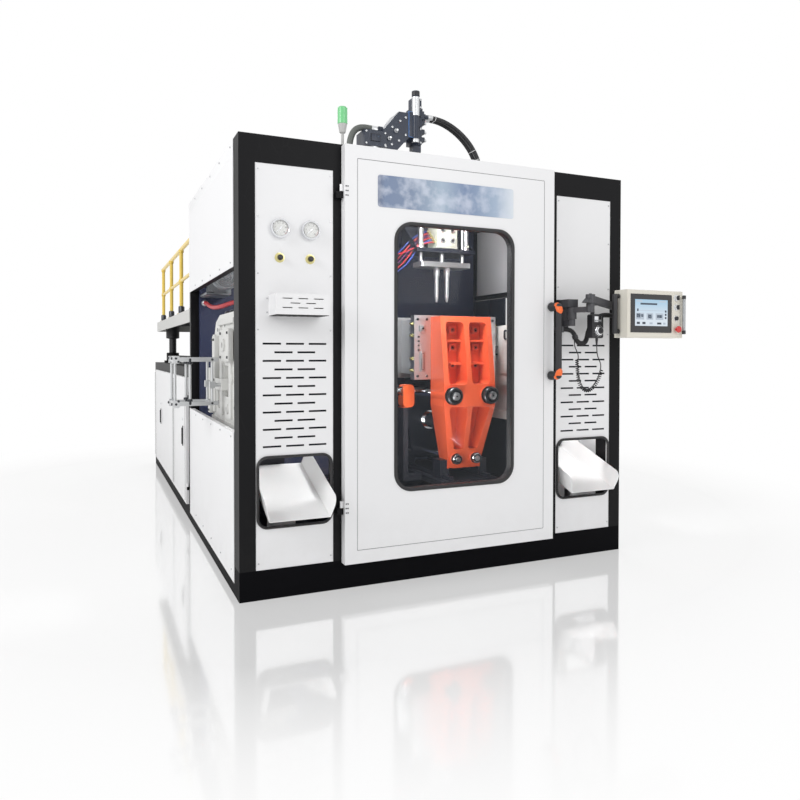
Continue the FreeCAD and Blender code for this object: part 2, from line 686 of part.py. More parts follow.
def make_door_hinges():
    """The frame's halves of the two hinges: a leaf on the post, a knuckle and the pin."""
    halves = []
    for z in ("hinge_low", "hinge_high"):
        plate = block(f"{HINGE_X} - 24", f"{HINGE_Y} + hinge_radius / 2", f"{z} - hinge_length / 2", "24",
                      f"-({HINGE_Y}) - hinge_radius / 2", "hinge_length / 2 - 1")
        web = block(f"{HINGE_X} - 24", f"{HINGE_Y} - hinge_radius / 3", f"{z} - hinge_length / 2", "24",
                    "hinge_radius", "hinge_length / 2 - 1")
        knuckle = rod(HINGE_X, HINGE_Y, f"{z} - hinge_length / 2", "hinge_radius", "hinge_length / 2 - 1")
        pin = rod(HINGE_X, HINGE_Y, f"{z} - hinge_length / 2", "hinge_pin", "hinge_length")
        halves.append(fused([plate, web, knuckle, pin]))
    keep("door_hinges", group(halves))


def make_door_handle():
    """A bow grip on two feet near the door's right edge."""
    x = "door_left + door_width - handle_inset"
    y = f"{DOOR_FACE} - handle_out"
    low = "handle_centre - handle_length / 2"
    grip = rod(x, y, f"{low} + handle_radius", "handle_radius", "handle_length - 2 * handle_radius")
    feet = []
    for z in (f"{low} + handle_radius", f"{low} + handle_length - handle_radius"):
        elbow = doc.addObject("Part::Sphere", "elbow")
        bind(elbow, Radius="handle_radius")
        place(elbow, (x, y, z))
        feet.append(elbow)
        feet.append(rod(x, y, z, "handle_radius", "handle_out", "y"))
    keep("door_handle", fused([grip] + feet))


# ---- gauges and regulators ---------------------------------------------------------------------

def make_gauges():
    cases = []
    for side, name in (("-", "left"), ("+", "right")):
        x = f"{PANEL_MID} {side} gauge_step / 2"
        face = "panel_recess - gauge_out"
        case = turned([("0", "4"), ("gauge_radius - 8", "4"), ("gauge_radius - 7", "0"),
                       ("gauge_radius - 3", "0"), ("gauge_radius", "3"), ("gauge_radius", "gauge_out"),
                       ("gauge_radius - 8", "gauge_out"), ("gauge_radius - 8", "gauge_out + 22"),
                       ("7", "gauge_out + 22"), ("7", "gauge_out + 40"), ("0", "gauge_out + 40")],
                      (x, face, "gauge_height"), "y")
        socket = rod(x, face, "gauge_height", "3 + fit", "10", "y")
        cases.append(cut(case, [socket]))
        hub = rod(x, f"{face} + 1", "gauge_height", "4.5", "2", "y")
        pin = rod(x, f"{face} + 1", "gauge_height", "3", "8", "y")
        pointer = slab("XZ", [("-2", "-12"), ("2", "-12"), ("1", "gauge_radius - 16"),
                              ("-1", "gauge_radius - 16")],
                       "1", (x, f"{face} + 1.5", "gauge_height"))
        pointer.Placement.Rotation = FreeCAD.Rotation(Vector(0, 1, 0), num("-needle_zero"))
        keep("gauge_needle_" + name, fused([hub, pin, pointer]))
        base = turned([("4", "0"), ("14", "0"), ("14", "6"), ("10.8", "6"), ("10.8", "30"), ("16", "30"),
                       ("16", "60"), ("4", "60")], (x, "panel_recess - 6", "regulator_height"), "y")
        cases.append(base)
        knob = turned([("0", "-30"), ("9", "-30"), ("12", "-27"), ("12", "-7.5"), ("14", "-6.5"),
                       ("0", "-6.5")],
                      (x, "panel_recess", "regulator_height"), "y")
        stem = rod(x, "panel_recess - 8", "regulator_height", "4 - fit", "30", "y")
        keep("regulator_knob_" + name, fused([knob, stem]))
    keep("gauge_cases", group(cases))


# ---- bed, carriage and clamp ---------------------------------------------------------------------

RAIL_TOP = "(base_height + bed_height + rail_height)"
SADDLE_BOTTOM = f"({RAIL_TOP} + 8)"
SADDLE_TOP = f"({SADDLE_BOTTOM} + carriage_plate)"
SLIDE_TOP = f"({SADDLE_TOP} + rail_height)"
FRONT_BACK = "(parting_y - mould_thick - backing)"
REAR_FRONT = "(parting_y + mould_thick + backing)"
STATION_LEFT = "(station_x - carriage_width / 2)"


def shoe(x, y, z, wide, long, tall, rail, along):
    """A guide shoe: a block with a groove that clears its rail all round."""
    body = block(x, y, z, wide, long, tall)
    rail_x, rail_z = rail
    if along == "x":
        groove = block(f"{x} - 1", f"{rail_x} - fit", f"{z} - 1", f"{wide} + 2", "rail_width + 2 * fit",
                       f"{rail_z} + fit - ({z}) + 1")
    else:
        groove = block(f"{rail_x} - fit", f"{y} - 1", f"{z} - 1", "rail_width + 2 * fit", f"{long} + 2",
                       f"{rail_z} + fit - ({z}) + 1")
    return cut(body, [groove])


def make_bed():
    """Two cast beams with a guide rail each, tied by cross walls."""
    parts = []
    for y in ("bed_front", "bed_rear"):
        parts.append(block("bed_left", y, "base_height", "bed_right - bed_left", "bed_beam", "bed_height"))
        parts.append(block("bed_left", f"{y} + bed_beam / 2 - rail_width / 2", "base_height + bed_height",
                           "bed_right - bed_left", "rail_width", "rail_height"))
    for x in ("bed_left", "bed_right - 40"):
        parts.append(block(x, "bed_front", "base_height", "40", "bed_rear - bed_front", "bed_height * 0.7"))
    keep("machine_bed", fused(parts))


def make_carriage():
    """The saddle: a plate on four shoes, with two guide rails for the platens on top."""
    plate_y = "bed_front"
    plate_long = "bed_rear + bed_beam - bed_front"
    parts = [block(STATION_LEFT, plate_y, SADDLE_BOTTOM, "carriage_width", plate_long, "carriage_plate")]
    for x in (STATION_LEFT, f"{STATION_LEFT} + carriage_width - 110"):
        for y in ("bed_front", "bed_rear"):
            rail_y = f"{y} + bed_beam / 2 - rail_width / 2"
            parts.append(shoe(x, f"{y} + bed_beam / 2 - 40", f"{RAIL_TOP} - rail_height / 2", "110", "80",
                              f"8 + rail_height / 2", (rail_y, RAIL_TOP), "x"))
    for side in ("-", "+"):
        x = f"station_x {side} carriage_width / 3 - rail_width / 2"
        parts.append(block(x, plate_y, SADDLE_TOP, "rail_width", plate_long, "rail_height"))
    bracket_x = "station_x - backing_width / 2 - 36"
    parts.append(block(bracket_x, "parting_y - 120", SADDLE_BOTTOM, "36", "90", f"900 - {SADDLE_BOTTOM}"))
    parts.append(block(bracket_x, "parting_y - 120", SADDLE_BOTTOM, f"{STATION_LEFT} - ({bracket_x}) + 1",
                       "90",
                       "carriage_plate"))
    lug = rounded(block(bracket_x, "parting_y - 120", "900", "84", "90", "158"), "30", "y")
    parts.append(lug)
    parts.append(turned([("0", "-2"), ("26", "-2"), ("26", "14"), ("20", "14"), ("20", "95"), ("0", "95")],
                        (f"{bracket_x} + 84", "parting_y - 75", "tie_height + 22"), "x"))
    keep("carriage", fused(parts))


def make_front_platen():
    """The cast front platen: a ribbed box that is deepest at the tie bars."""
    half = "platen_width / 2"
    foot = "platen_foot_width / 2"
    front = f"{FRONT_BACK} - platen_depth"
    shape = slab("XZ", [(f"-{half}", "platen_top"), (f"-{half}", "waist_low"),
                        (f"-{foot}", "platen_bottom + 60"), (f"-{foot}", "platen_bottom"),
                        (foot, "platen_bottom"), (foot, "platen_bottom + 60"),
                        (half, "waist_low"), (half, "platen_top")],
                 "platen_depth", ("station_x", front, "0"))
    # the front is cut back above and below the thick part
    high_wedge = slab("YZ", [("-1", "waist_high"), ("0", "waist_high"),
                             ("platen_depth - platen_top_depth", "platen_top"),
                             ("platen_depth - platen_top_depth", "platen_top + 10"),
                             ("-1", "platen_top + 10")],
                      "platen_width + 2", (f"station_x - {half} - 1", front, "0"))
    low_wedge = slab("YZ", [("-1", "waist_low"), ("0", "waist_low"),
                            ("platen_depth - platen_foot_depth", "platen_bottom"),
                            ("platen_depth - platen_foot_depth", "platen_bottom - 10"),
                            ("-1", "platen_bottom - 10")],
                     "platen_width + 2", (f"station_x - {half} - 1", front, "0"))
    body = cut(shape, [high_wedge, low_wedge])
    body = rounded(body, "44", "y", lambda p: p.z < num("platen_bottom + 1"))
    depth = "platen_depth - platen_web"
    opening = "(platen_width - 3 * platen_rim) / 2"
    tools = []
    for side in (-1, 1):
        left = f"station_x + platen_rim / 2 * {side} + {opening} * {min(side, 0)}"
        pocket = block(left, f"{front} - 1", "waist_high", opening, depth,
                       "platen_top - platen_rim - waist_high")
        tools.append(rounded(pocket, "30", "y"))
        inner = f"platen_rim / 2 * {side}"
        outer_top = f"({half} - platen_rim) * {side}"
        outer_low = f"({foot} - platen_rim) * {side}"
        taper = slab("XZ", [(inner, "waist_low - 6"), (outer_top, "waist_low - 6"),
                            (outer_low, "platen_bottom + 132"), (inner, "platen_bottom + 132")],
                     depth, ("station_x", f"{front} - 1", "0"))
        tools.append(rounded(taper, "20", "y"))
    body = cut(body, tools)
    extras = []
    for side in (-1, 1):
        left = f"station_x + platen_rim / 2 * {side} + {opening} * {min(side, 0)}"
        for z in ("waist_high + (platen_top - waist_high) * 0.29",
                  "waist_high + (platen_top - waist_high) * 0.63"):
            extras.append(block(left, f"{front} + platen_depth * 0.45", z, opening, "platen_depth * 0.4",
                                "14"))
        extras.append(rod(f"station_x + tie_spread / 2 * {side}", f"{front} - 8", "tie_height",
                          "tie_nut + 4",
                          "platen_depth", "y"))
        extras.append(rod(f"station_x + rod_spread / 2 * {side}",
                          f"{FRONT_BACK} - platen_foot_depth - rod_seat",
                          "rod_height", "rod_nut + 3", "platen_foot_depth", "y"))
        shoe_x = f"station_x + carriage_width / 3 * {side} - 35"
        rail_x = f"station_x + carriage_width / 3 * {side} - rail_width / 2"
        extras.append(shoe(shoe_x, f"{FRONT_BACK} - platen_foot_depth", f"{SADDLE_TOP} + 4", "70",
                           "platen_foot_depth", f"platen_bottom + 60 - {SADDLE_TOP} - 4",
                           (rail_x, SLIDE_TOP), "y"))
        extras.append(block(f"station_x + carriage_width / 3 * {min(side, 0)} - 35 * {1 if side < 0 else 0}",
                            f"{FRONT_BACK} - platen_foot_depth", "platen_bottom + 4",
                            "carriage_width / 3 + 35",
                            "platen_foot_depth", "56"))
    body = fused([body] + extras)
    holes = []
    for side in (-1, 1):
        holes.append(rod(f"station_x + tie_spread / 2 * {side}", f"{front} - 20", "tie_height",
                         "tie_radius",
                         "platen_depth + 40", "y"))
        holes.append(rod(f"station_x + rod_spread / 2 * {side}", f"{front} - 20", "rod_height",
                         "rod_radius",
                         "platen_depth + 40", "y"))
        for z in ("platen_top - 84", "platen_top - 205", "platen_top - 330"):
            holes.append(rod(f"station_x + platen_width * 0.2 * {side} - 30", f"{front}", z, "11",
                             "platen_depth + 20", "y"))
    keep("front_platen", cut(body, holes))


TIE_BACK = "(parting_y + mould_thick + backing + rear_platen_depth + 2 * open_stroke + 30)"


def make_tie_bars():
    """Two thick and two thin bars, turned with a stepped nut at the front and a collar behind."""
    bars = []
    front = f"{FRONT_BACK} - platen_depth"
    for side in (-1, 1):
        reach = f"{TIE_BACK} - ({front})"
        bars.append(turned([("0", "-70"), ("27", "-70"), ("27", "-56"), ("tie_nut - 6", "-56"),
                            ("tie_nut", "-50"),
                            ("tie_nut", "-8"), ("tie_radius", "-8"), ("tie_radius", f"{reach}"),
                            ("tie_radius + 10", f"{reach}"), ("tie_radius + 10", f"{reach} + 24"),
                            ("0", f"{reach} + 24")],
                           (f"station_x + tie_spread / 2 * {side}", front, "tie_height"), "y"))
        start = f"{FRONT_BACK} - platen_foot_depth"
        reach = f"{TIE_BACK} - ({start})"
        bars.append(turned([("0", "-rod_seat - 48"), ("14", "-rod_seat - 48"), ("14", "-rod_seat - 36"),
                            ("rod_nut - 4", "-rod_seat - 36"), ("rod_nut", "-rod_seat - 32"),
                            ("rod_nut", "-rod_seat"), ("rod_radius", "-rod_seat"),
                            ("rod_radius", f"{reach}"),
                            ("rod_radius + 7", f"{reach}"), ("rod_radius + 7", f"{reach} + 20"),
                            ("0", f"{reach} + 20")],
                           (f"station_x + rod_spread / 2 * {side}", start, "rod_height"), "y"))
    bars.append(fused([rod("station_x", FRONT_BACK, CLAMP_Z, "24", f"{CLAMP_LONG} - 30", "y"),
                       rod("station_x", FRONT_BACK, CLAMP_Z, "46", "26", "y")]))
    keep("tie_bars", group(bars))


def mould_half(back_y, block_y):
    """A backing plate with its clamping holes and a mould block with half of each cavity."""
    plate = block("station_x - backing_width / 2", back_y, "backing_bottom", "backing_width", "backing",
                  "backing_top - backing_bottom")
    mould = block("station_x - mould_width / 2", block_y, "mould_bottom", "mould_width", "mould_thick",
                  "mould_top - mould_bottom")
    tools = []
    for side in (-1, 1):
        x = f"station_x + pin_step / 2 * {side}"
        tools.append(rod(x, "parting_y", "mould_top - 60", "neck_radius", "70"))
        tools.append(turned([("0", "mould_bottom + 50"), ("30", "mould_bottom + 50"),
                             ("38", "mould_bottom + 60"),
                             ("38", "mould_top - 130"), ("20", "mould_top - 80"),
                             ("neck_radius", "mould_top - 59"),
                             ("0", "mould_top - 59")], (x, "parting_y", "0")))
        for row in range(4):
            tools.append(rod(f"station_x + (backing_width / 2 - 34) * {side}", f"{back_y} - 1",
                             f"backing_top - 150 - 30 * {row}", "8", "backing + 2", "y"))
    return cut(fused([plate, mould]), tools)


def make_moulds():
    keep("mould_front", mould_half(FRONT_BACK, "parting_y - mould_thick"))
    keep("mould_rear", mould_half(REAR_FRONT + " - backing", "parting_y"))


def make_rear_platen():
    """The rear platen with its shoes and the clamp cylinder's seat."""
    parts = [slab("XZ", [("-platen_width / 2", "platen_top"), ("-platen_width / 2", "waist_low"),
                         ("-platen_foot_width / 2", "platen_bottom"),
                         ("platen_foot_width / 2", "platen_bottom"),
                         ("platen_width / 2", "waist_low"), ("platen_width / 2", "platen_top")],
                  "rear_platen_depth", ("station_x", REAR_FRONT, "0"))]
    holes = []
    for side in (-1, 1):
        shoe_x = f"station_x + carriage_width / 3 * {side} - 35"
        rail_x = f"station_x + carriage_width / 3 * {side} - rail_width / 2"
        parts.append(shoe(shoe_x, REAR_FRONT, f"{SADDLE_TOP} + 4", "70", "rear_platen_depth",
                          f"platen_bottom + 60 - {SADDLE_TOP} - 4", (rail_x, SLIDE_TOP), "y"))
        parts.append(block(f"station_x + carriage_width / 3 * {min(side, 0)} - 35 * {1 if side < 0 else 0}",
                           REAR_FRONT, "platen_bottom + 4", "carriage_width / 3 + 35", "rear_platen_depth",
                           "56"))
        holes.append(rod(f"station_x + tie_spread / 2 * {side}", f"{REAR_FRONT} - 1", "tie_height",
                         "tie_radius + fit",
                         "rear_platen_depth + 2", "y"))
        holes.append(rod(f"station_x + rod_spread / 2 * {side}", f"{REAR_FRONT} - 1", "rod_height",
                         "rod_radius + fit",
                         "rear_platen_depth + 2", "y"))
        holes.append(rounded(block(f"station_x + platen_rim / 2 * {side} + {min(side, 0)} * 130",
                                   f"{REAR_FRONT} + platen_web", "waist_high + 20", "130",
                                   "rear_platen_depth",
                                   "platen_top - waist_high - 70"), "25", "y"))
    keep("rear_platen", cut(fused(parts), holes))


CLAMP_Z = "((tie_height + rod_height) / 2)"
CLAMP_LONG = f"({REAR_FRONT} - {FRONT_BACK})"


def make_clamp_cylinder():
    """The cylinder on the rear platen's face; its rod comes from the front platen, under the mould."""
    barrel_long = f"({CLAMP_LONG} - open_stroke)"
    barrel = turned([("24 + fit", "0"), ("68", "0"), ("68", "34"), ("58", "34"),
                     ("58", f"{barrel_long} - 30"),
                     ("70", f"{barrel_long} - 30"), ("70", barrel_long), ("0", barrel_long),
                     ("0", f"{barrel_long} - 24"), ("24 + fit", f"{barrel_long} - 24")],
                    ("station_x", f"{REAR_FRONT} - {barrel_long}", CLAMP_Z), "y")
    keep("clamp_cylinder", barrel)


# ---- blow pins, deflashing and take-out ----------------------------------------------------------

GUIDE_PLATE = "(blow_plate_bottom + 105)"


def make_blow_unit():
    """A bracket under the cross beam holds the cylinder block; the plate with the pins hangs on it."""
    left = "station_x - 235"
    parts = [
        block(left, "parting_y + 130", GUIDE_PLATE, "470", "60", f"height - tube - {GUIDE_PLATE}"),
        block(left, "parting_y - 75", GUIDE_PLATE, "470", "205", "26"),
        block(left, "parting_y + 130", "height - tube - 40", "470", f"tube + 60", "40"),
        block("station_x - 72", "parting_y - 66", f"{GUIDE_PLATE} + 26", "144", "132", "blow_stroke + 6"),
    ]
    for x in (left, f"{left} + 470 - 12"):
        parts.append(slab("YZ", [("parting_y - 60", f"{GUIDE_PLATE} + 26"),
                                 ("parting_y + 130", f"{GUIDE_PLATE} + 26"),
                                 ("parting_y + 130", f"{GUIDE_PLATE} + 180")], "12", (x, "0", "0")))
    tools = [rod("station_x", "parting_y", f"{GUIDE_PLATE} - 1", "16 + fit", "blow_stroke + 20")]
    for side in (-1, 1):
        tools.append(rod(f"station_x + column_step / 2 * {side}", "parting_y", f"{GUIDE_PLATE} - 1",
                         "column_radius + fit", "60"))
    keep("blow_unit", cut(fused(parts), tools))
    plate_top = "blow_plate_bottom + blow_plate_thick"
    moving = [rounded(block("station_x - blow_plate_width / 2", "parting_y - 75", "blow_plate_bottom",
                            "blow_plate_width", "150", "blow_plate_thick"), "12", "z")]
    moving.append(rod("station_x", "parting_y", "blow_plate_bottom + 10", "16", "blow_stroke + 110"))
    for side in (-1, 1):
        moving.append(rod(f"station_x + column_step / 2 * {side}", "parting_y", "blow_plate_bottom + 2",
                          "column_radius", "400"))
        x = f"station_x + pin_step / 2 * {side}"
        moving.append(turned([("0", "-pin_length"), ("pin_radius - 8", "-pin_length"),
                              ("pin_radius - 5", "-pin_length + 26"),
                              ("pin_radius", "-pin_length + 30"), ("pin_radius", "-60"),
                              ("pin_radius + 7", "-60"),
                              ("pin_radius + 7", "0"), ("0", "0")], (x, "parting_y", "blow_plate_bottom")))
    keep("blow_plate", fused(moving))


def deflash_unit():
    """A pedestal with a table and a ribbed press casting, at one side of the clamp."""
    long = "deflash_rear - deflash_front"
    parts = [
        block("100", "deflash_front + 60", "base_height", "deflash_inner - 160", f"{long} - 120",
              "deflash_table - base_height"),
        block("64", "deflash_front", "deflash_table - 60", "deflash_inner - 64", long, "60"),
        slab("YZ", [("deflash_front + 20", "deflash_table"), ("deflash_rear - 20", "deflash_table"),
                    ("deflash_rear - 20", "deflash_top - 220"), ("deflash_rear - 150", "deflash_top - 40"),
                    ("deflash_rear - 300", "deflash_top"), ("deflash_front + 20", "deflash_top")],
             "70", ("70", "0", "0")),
        block("140", "deflash_front + 120", "deflash_table", "deflash_inner - 190", f"{long} - 240",
              "deflash_top - deflash_table - 60"),
        slab("YZ", [("deflash_front + 60", "deflash_table + 190"),
                    ("deflash_rear - 60", "deflash_table + 190"),
                    ("deflash_rear - 60", "deflash_top - 60"), ("deflash_front + 60", "deflash_top - 30")],
             "50", ("deflash_inner - 50", "0", "0")),
    ]
    for y in ("deflash_front + 130", "deflash_front + 430", "deflash_front + 700"):
        parts.append(block("58", y, "deflash_table + 30", "14", "70", "deflash_top - deflash_table - 150"))
    tools = [
        block("40", "deflash_front + 240", "deflash_table + 150", "52", "150", "190"),
        block("40", "deflash_front + 540", "deflash_table + 60", "52", "120", "150"),
    ]
    return cut(fused(parts), tools)


def make_deflash_units():
    """The left unit also carries the bushes of the take-out frame's two rods."""
    left = deflash_unit()
    boss = block("40", "takeout_y - takeout_depth / 2 - 30", "takeout_low + 90", "40", "takeout_depth + 60",
                 "70")
    tools = [rod("0", y, "takeout_low + 125", "11 + fit", "500", "x")
             for y in ("takeout_y - takeout_depth / 2", "takeout_y + takeout_depth / 2")]
    keep("deflash_units", group([cut(fused([left, boss]), tools), mirrored(deflash_unit())]))


def make_takeout_frame():
    """Two ladders of square tube with corner blocks, joined by cross bars, on two guide rods."""
    parts = []
    left = "-takeout_reach"
    span = "takeout_reach + 26"
    for y in ("takeout_y - takeout_depth / 2", "takeout_y + takeout_depth / 2"):
        edge = f"{y} - takeout_bar / 2"
        for z in ("takeout_low", "takeout_high - takeout_bar"):
            parts.append(block(left, edge, z, span, "takeout_bar", "takeout_bar"))
        for share in (0.03, 0.36, 0.86):
            parts.append(rod(f"{left} + ({span}) * {share}", y, "takeout_low", "8",
                             "takeout_high - takeout_low"))
        parts.append(block(f"{left} - 8", f"{y} - 19", "takeout_high - 36", "40", "38", "44"))
        parts.append(block(f"{left} - 8", f"{y} - 19", "takeout_low - 10", "40", "38", "44"))
        parts.append(rod(f"{left} + ({span}) * 0.86", y, "takeout_low + 125", "11", "takeout_travel + 220",
                         "x"))
        parts.append(block(f"{left} + ({span}) * 0.86 - 16", f"{y} - 16", "takeout_low + 105", "32", "32",
                           "40"))
    for z in ("takeout_low", "takeout_high - takeout_bar"):
        for share in (0.03, 0.86):
            parts.append(block(f"{left} + ({span}) * {share} - takeout_bar / 2",
                               "takeout_y - takeout_depth / 2", z,
                               "takeout_bar", "takeout_depth", "takeout_bar"))
    keep("takeout_frame", fused(parts))


# ---- extruder and die head -----------------------------------------------------------------------

def make_extruder():
    """Gearbox and motor, barrel with heater bands, hopper, all on the platform."""
    drive = [
        rounded(block("head_x - 215", "gearbox_front", "platform_top", "430", "430", "620"), "30", "y"),
        rod("head_x", "gearbox_front + 430", "screw_height", "165", "560", "y"),
        rod("head_x", "gearbox_front + 410", "screw_height", "190", "60", "y"),
        rod("head_x", "gearbox_front + 990", "screw_height", "150", "60", "y"),
        block("head_x - 150", "gearbox_front + 520", "platform_top", "300", "340",
              "screw_height - platform_top"),
        block("head_x + 90", "gearbox_front + 620", "screw_height + 60", "110", "180", "150"),
    ]
    keep("extruder_drive", fused(drive))
    barrel_start = "parting_y + head_radius + head_neck"
    barrel_long = f"gearbox_front - ({barrel_start})"
    barrel = [rod("head_x", barrel_start, "screw_height", "barrel_radius", barrel_long, "y")]
    bands = 7
    for index in range(bands):
        y = f"parting_y + head_radius + 60 + (feed_y - 160 - parting_y - head_radius) * {index} / {bands}"
        barrel.append(rod("head_x", y, "screw_height", "band_radius", "165", "y"))
    barrel.append(block("head_x - 90", "feed_y - 90", "screw_height - 90", "180", "180", "180"))
    barrel.append(block("head_x - 60", "feed_y - 60", "platform_top", "120", "120",
                        "screw_height - platform_top"))
    barrel.append(block("head_x - 50", "module_depth + 160", "platform_top", "100", "60",
                        "screw_height - platform_top"))
    keep("barrel", fused(barrel))
    hopper = turned([("38", "0"), ("60", "0"), ("60", "20"), ("46", "20"), ("46", "120"), ("250", "420"),
                     ("250", "700"), ("246", "700"), ("246", "423"), ("38", "117")],
                    ("head_x", "feed_y", "screw_height + 90"))
    keep("hopper", hopper)


RETURN_X = "(head_x - 165)"


def make_die_head():
    """The head that drops the parison, with the parison cylinder above it, up through the roof."""
    parts = [
        turned([("0", "-78"), ("34", "-78"), ("60", "-30"), ("96", "-30"), ("96", "0"),
                ("head_radius", "0"),
                ("head_radius", "head_body * 0.4"), ("head_radius + 14", "head_body * 0.4"),
                ("head_radius + 14", "head_body * 0.5"), ("head_radius", "head_body * 0.5"),
                ("head_radius", "head_body"), ("90", "head_body"), ("90", "head_body + 26"),
                ("40", "head_body + 26"),
                ("40", "head_body + 140"), ("cylinder_radius + 12", "head_body + 140"),
                ("cylinder_radius + 12", "head_body + 166"), ("cylinder_radius", "head_body + 166"),
                ("cylinder_radius", "cylinder_top - head_bottom"), ("0", "cylinder_top - head_bottom")],
               ("head_x", "parting_y", "head_bottom")),
    ]
    for dx, dy in ((-62, -62), (62, -62), (-62, 62), (62, 62)):
        parts.append(rod(f"head_x + {dx}", f"parting_y + {dy}", "head_bottom + head_body - 2", "11", "160"))
    parts.append(rod("head_x", "parting_y", "screw_height", "barrel_radius + 6", "head_radius + head_neck",
                     "y"))
    parts.append(block(f"{RETURN_X} - 26", "parting_y - 28", "height + 20", f"head_x - ({RETURN_X}) + 26",
                       "56", "60"))
    keep("die_head", fused(parts))


RETURN_Z = "(cylinder_top + 136)"
PORT_Z = "(cylinder_top + 268)"


def make_valve_set():
    """The servo valve and its manifold on top of the parison cylinder."""
    y = "parting_y"
    low = block("head_x - 82", f"{y} - 80", "cylinder_top", "164", "160", "108")
    manifold = slab("XZ", [("60", "8"), ("150", "-24"), ("262", "100"), ("262", "262"), ("176", "262"),
                           ("60", "120")],
                    "150", ("head_x", f"{y} - 75", "cylinder_top"))
    blue_plate = block("head_x + 262", f"{y} - 62", "cylinder_top + 96", "26", "124", "168")
    stack_x = "head_x + 288"
    stack = [
        block(stack_x, f"{y} - 50", "cylinder_top + 60", "78", "100", "118"),
        block(f"{stack_x} + 8", f"{y} - 42", "cylinder_top + 178", "64", "84", "74"),
        block(stack_x, f"{y} - 50", "cylinder_top + 252", "84", "100", "64"),
        block(f"{stack_x} + 12", f"{y} - 36", "cylinder_top + 316", "70", "72", "74"),
        rod(f"{stack_x} + 60", f"{y}", "cylinder_top - 20", "9", "84"),
        block(f"{stack_x} + 18", f"{y} - 32", "cylinder_top + 10", "62", "64", "52"),
        rod(f"{stack_x} + 20", f"{y} - 70", "cylinder_top + 60", "24", "340"),
        rod(f"{stack_x} + 20", f"{y} - 70", "cylinder_top + 386", "28", "34"),
        rod(f"{stack_x} + 20", f"{y} - 70", "cylinder_top + 100", "15", "30"),
    ]
    fitting = turned([("0", "0"), ("24", "0"), ("24", "14"), ("28", "14"), ("28", "40"), ("20", "40"),
                      ("20", "60"),
                      ("0", "60")], ("head_x + 38", y, RETURN_Z), "x")
    stack.append(block(f"{stack_x} + 70", f"{y} - 56", f"{PORT_Z} - 28", "24", "112", "56"))
    for side in (-1, 1):
        stack.append(turned([("0", "0"), ("20", "0"), ("20", "18"), ("pressure_hose", "22"),
                             ("pressure_hose", "40"),
                             ("0", "40")], (f"{stack_x} + 94", f"{y} + 27 * {side}", PORT_Z), "x"))
    keep("valve_set", fused([low, manifold, blue_plate, fitting] + stack))


# ---- rear of the machine -------------------------------------------------------------------------

def make_rear_cabinet():
    """The cabinet under the platform: a shell with two door openings on the left side."""
    front = "module_depth"
    tall = "cabinet_top - base_height"
    outer = block("0", front, "base_height", "width", "length - module_depth", tall)
    bays = []
    for start, end in (("module_depth + cabinet_wall", "cabinet_door_split - cabinet_wall / 2"),
                       ("cabinet_door_split + cabinet_wall / 2", "length - cabinet_wall")):
        bays.append(block("cabinet_post", start, "base_height + sheet",
                          "width - cabinet_post - cabinet_wall",
                          f"{end} - ({start})", f"{tall} - cabinet_wall - sheet"))
    openings = []
    for start, end in ((f"module_depth + 60", "cabinet_door_split - 40"),
                       ("cabinet_door_split + 40", "cabinet_door_rear - 60")):
        openings.append(block("-1", start, "base_height + 30", "cabinet_post + 2", f"{end} - ({start})",
                              f"{tall} - cabinet_frame - 60"))
    hinges = []
    for y in (FRONT_HINGE_Y, REAR_HINGE_Y):
        for z in CABINET_HINGES:
            hinges += [rod(CABINET_HINGE_X, y, z, "cabinet_hinge", "cabinet_hinge * 3"),
                       block(CABINET_HINGE_X, f"{y} - sheet", z, f"-{CABINET_HINGE_X} + sheet", "2 * sheet",
                             "cabinet_hinge * 3"),
                       rod(CABINET_HINGE_X, y, z, "cabinet_pin", "cabinet_hinge * 6")]
    keep("rear_cabinet", fused([cut(outer, bays + openings)] + hinges))


CABINET_HINGE_X = "(-cabinet_door_thick / 2 - 1)"
FRONT_HINGE_Y = "(module_depth + 62 - cabinet_hinge - 3)"
REAR_HINGE_Y = "(cabinet_door_rear + cabinet_hinge + 3)"
CABINET_HINGES = ("(cabinet_door_bottom + 110)", "(cabinet_top - cabinet_frame - 160)")


def cabinet_door(front, rear, handle_y, hinge_y):
    """A folded sheet door with a pull plate and its halves of the two hinges."""
    top = "cabinet_top - cabinet_frame"
    outer = block("-cabinet_door_thick - 1", front, "cabinet_door_bottom", "cabinet_door_thick",
                  f"{rear} - ({front})",
                  f"{top} - cabinet_door_bottom")
    hollow = block("-cabinet_door_thick - 1 + sheet", f"{front} + sheet", "cabinet_door_bottom + sheet",
                   "cabinet_door_thick", f"{rear} - ({front}) - 2 * sheet",
                   f"{top} - cabinet_door_bottom - 2 * sheet")
    pull = block("-cabinet_door_thick - 8", f"{handle_y} - 16", "560", "10", "32", "140")
    knuckles, bores = [], []
    for z in CABINET_HINGES:
        low, tall = f"{z} + cabinet_hinge * 3 + 1", "cabinet_hinge * 3"
        web = f"{hinge_y}" if "rear" not in hinge_y else f"{hinge_y} - cabinet_hinge - 4"
        knuckles += [rod(CABINET_HINGE_X, hinge_y, low, "cabinet_hinge", tall),
                     block(f"{CABINET_HINGE_X} - sheet / 2", web, low, "sheet", "cabinet_hinge + 4", tall)]
        bores.append(rod(CABINET_HINGE_X, hinge_y, f"{z} + cabinet_hinge", "cabinet_pin + fit",
                         "cabinet_hinge * 6"))
    return cut(fused([cut(outer, [hollow]), pull] + knuckles), bores)


def make_cabinet_doors():
    keep("cabinet_door_front", cabinet_door("module_depth + 62", "cabinet_door_split - door_slit",
                                            "module_depth + 200", FRONT_HINGE_Y))
    keep("cabinet_door_rear", cabinet_door("cabinet_door_split + door_slit", "cabinet_door_rear",
                                           "cabinet_door_rear - 700", REAR_HINGE_Y))


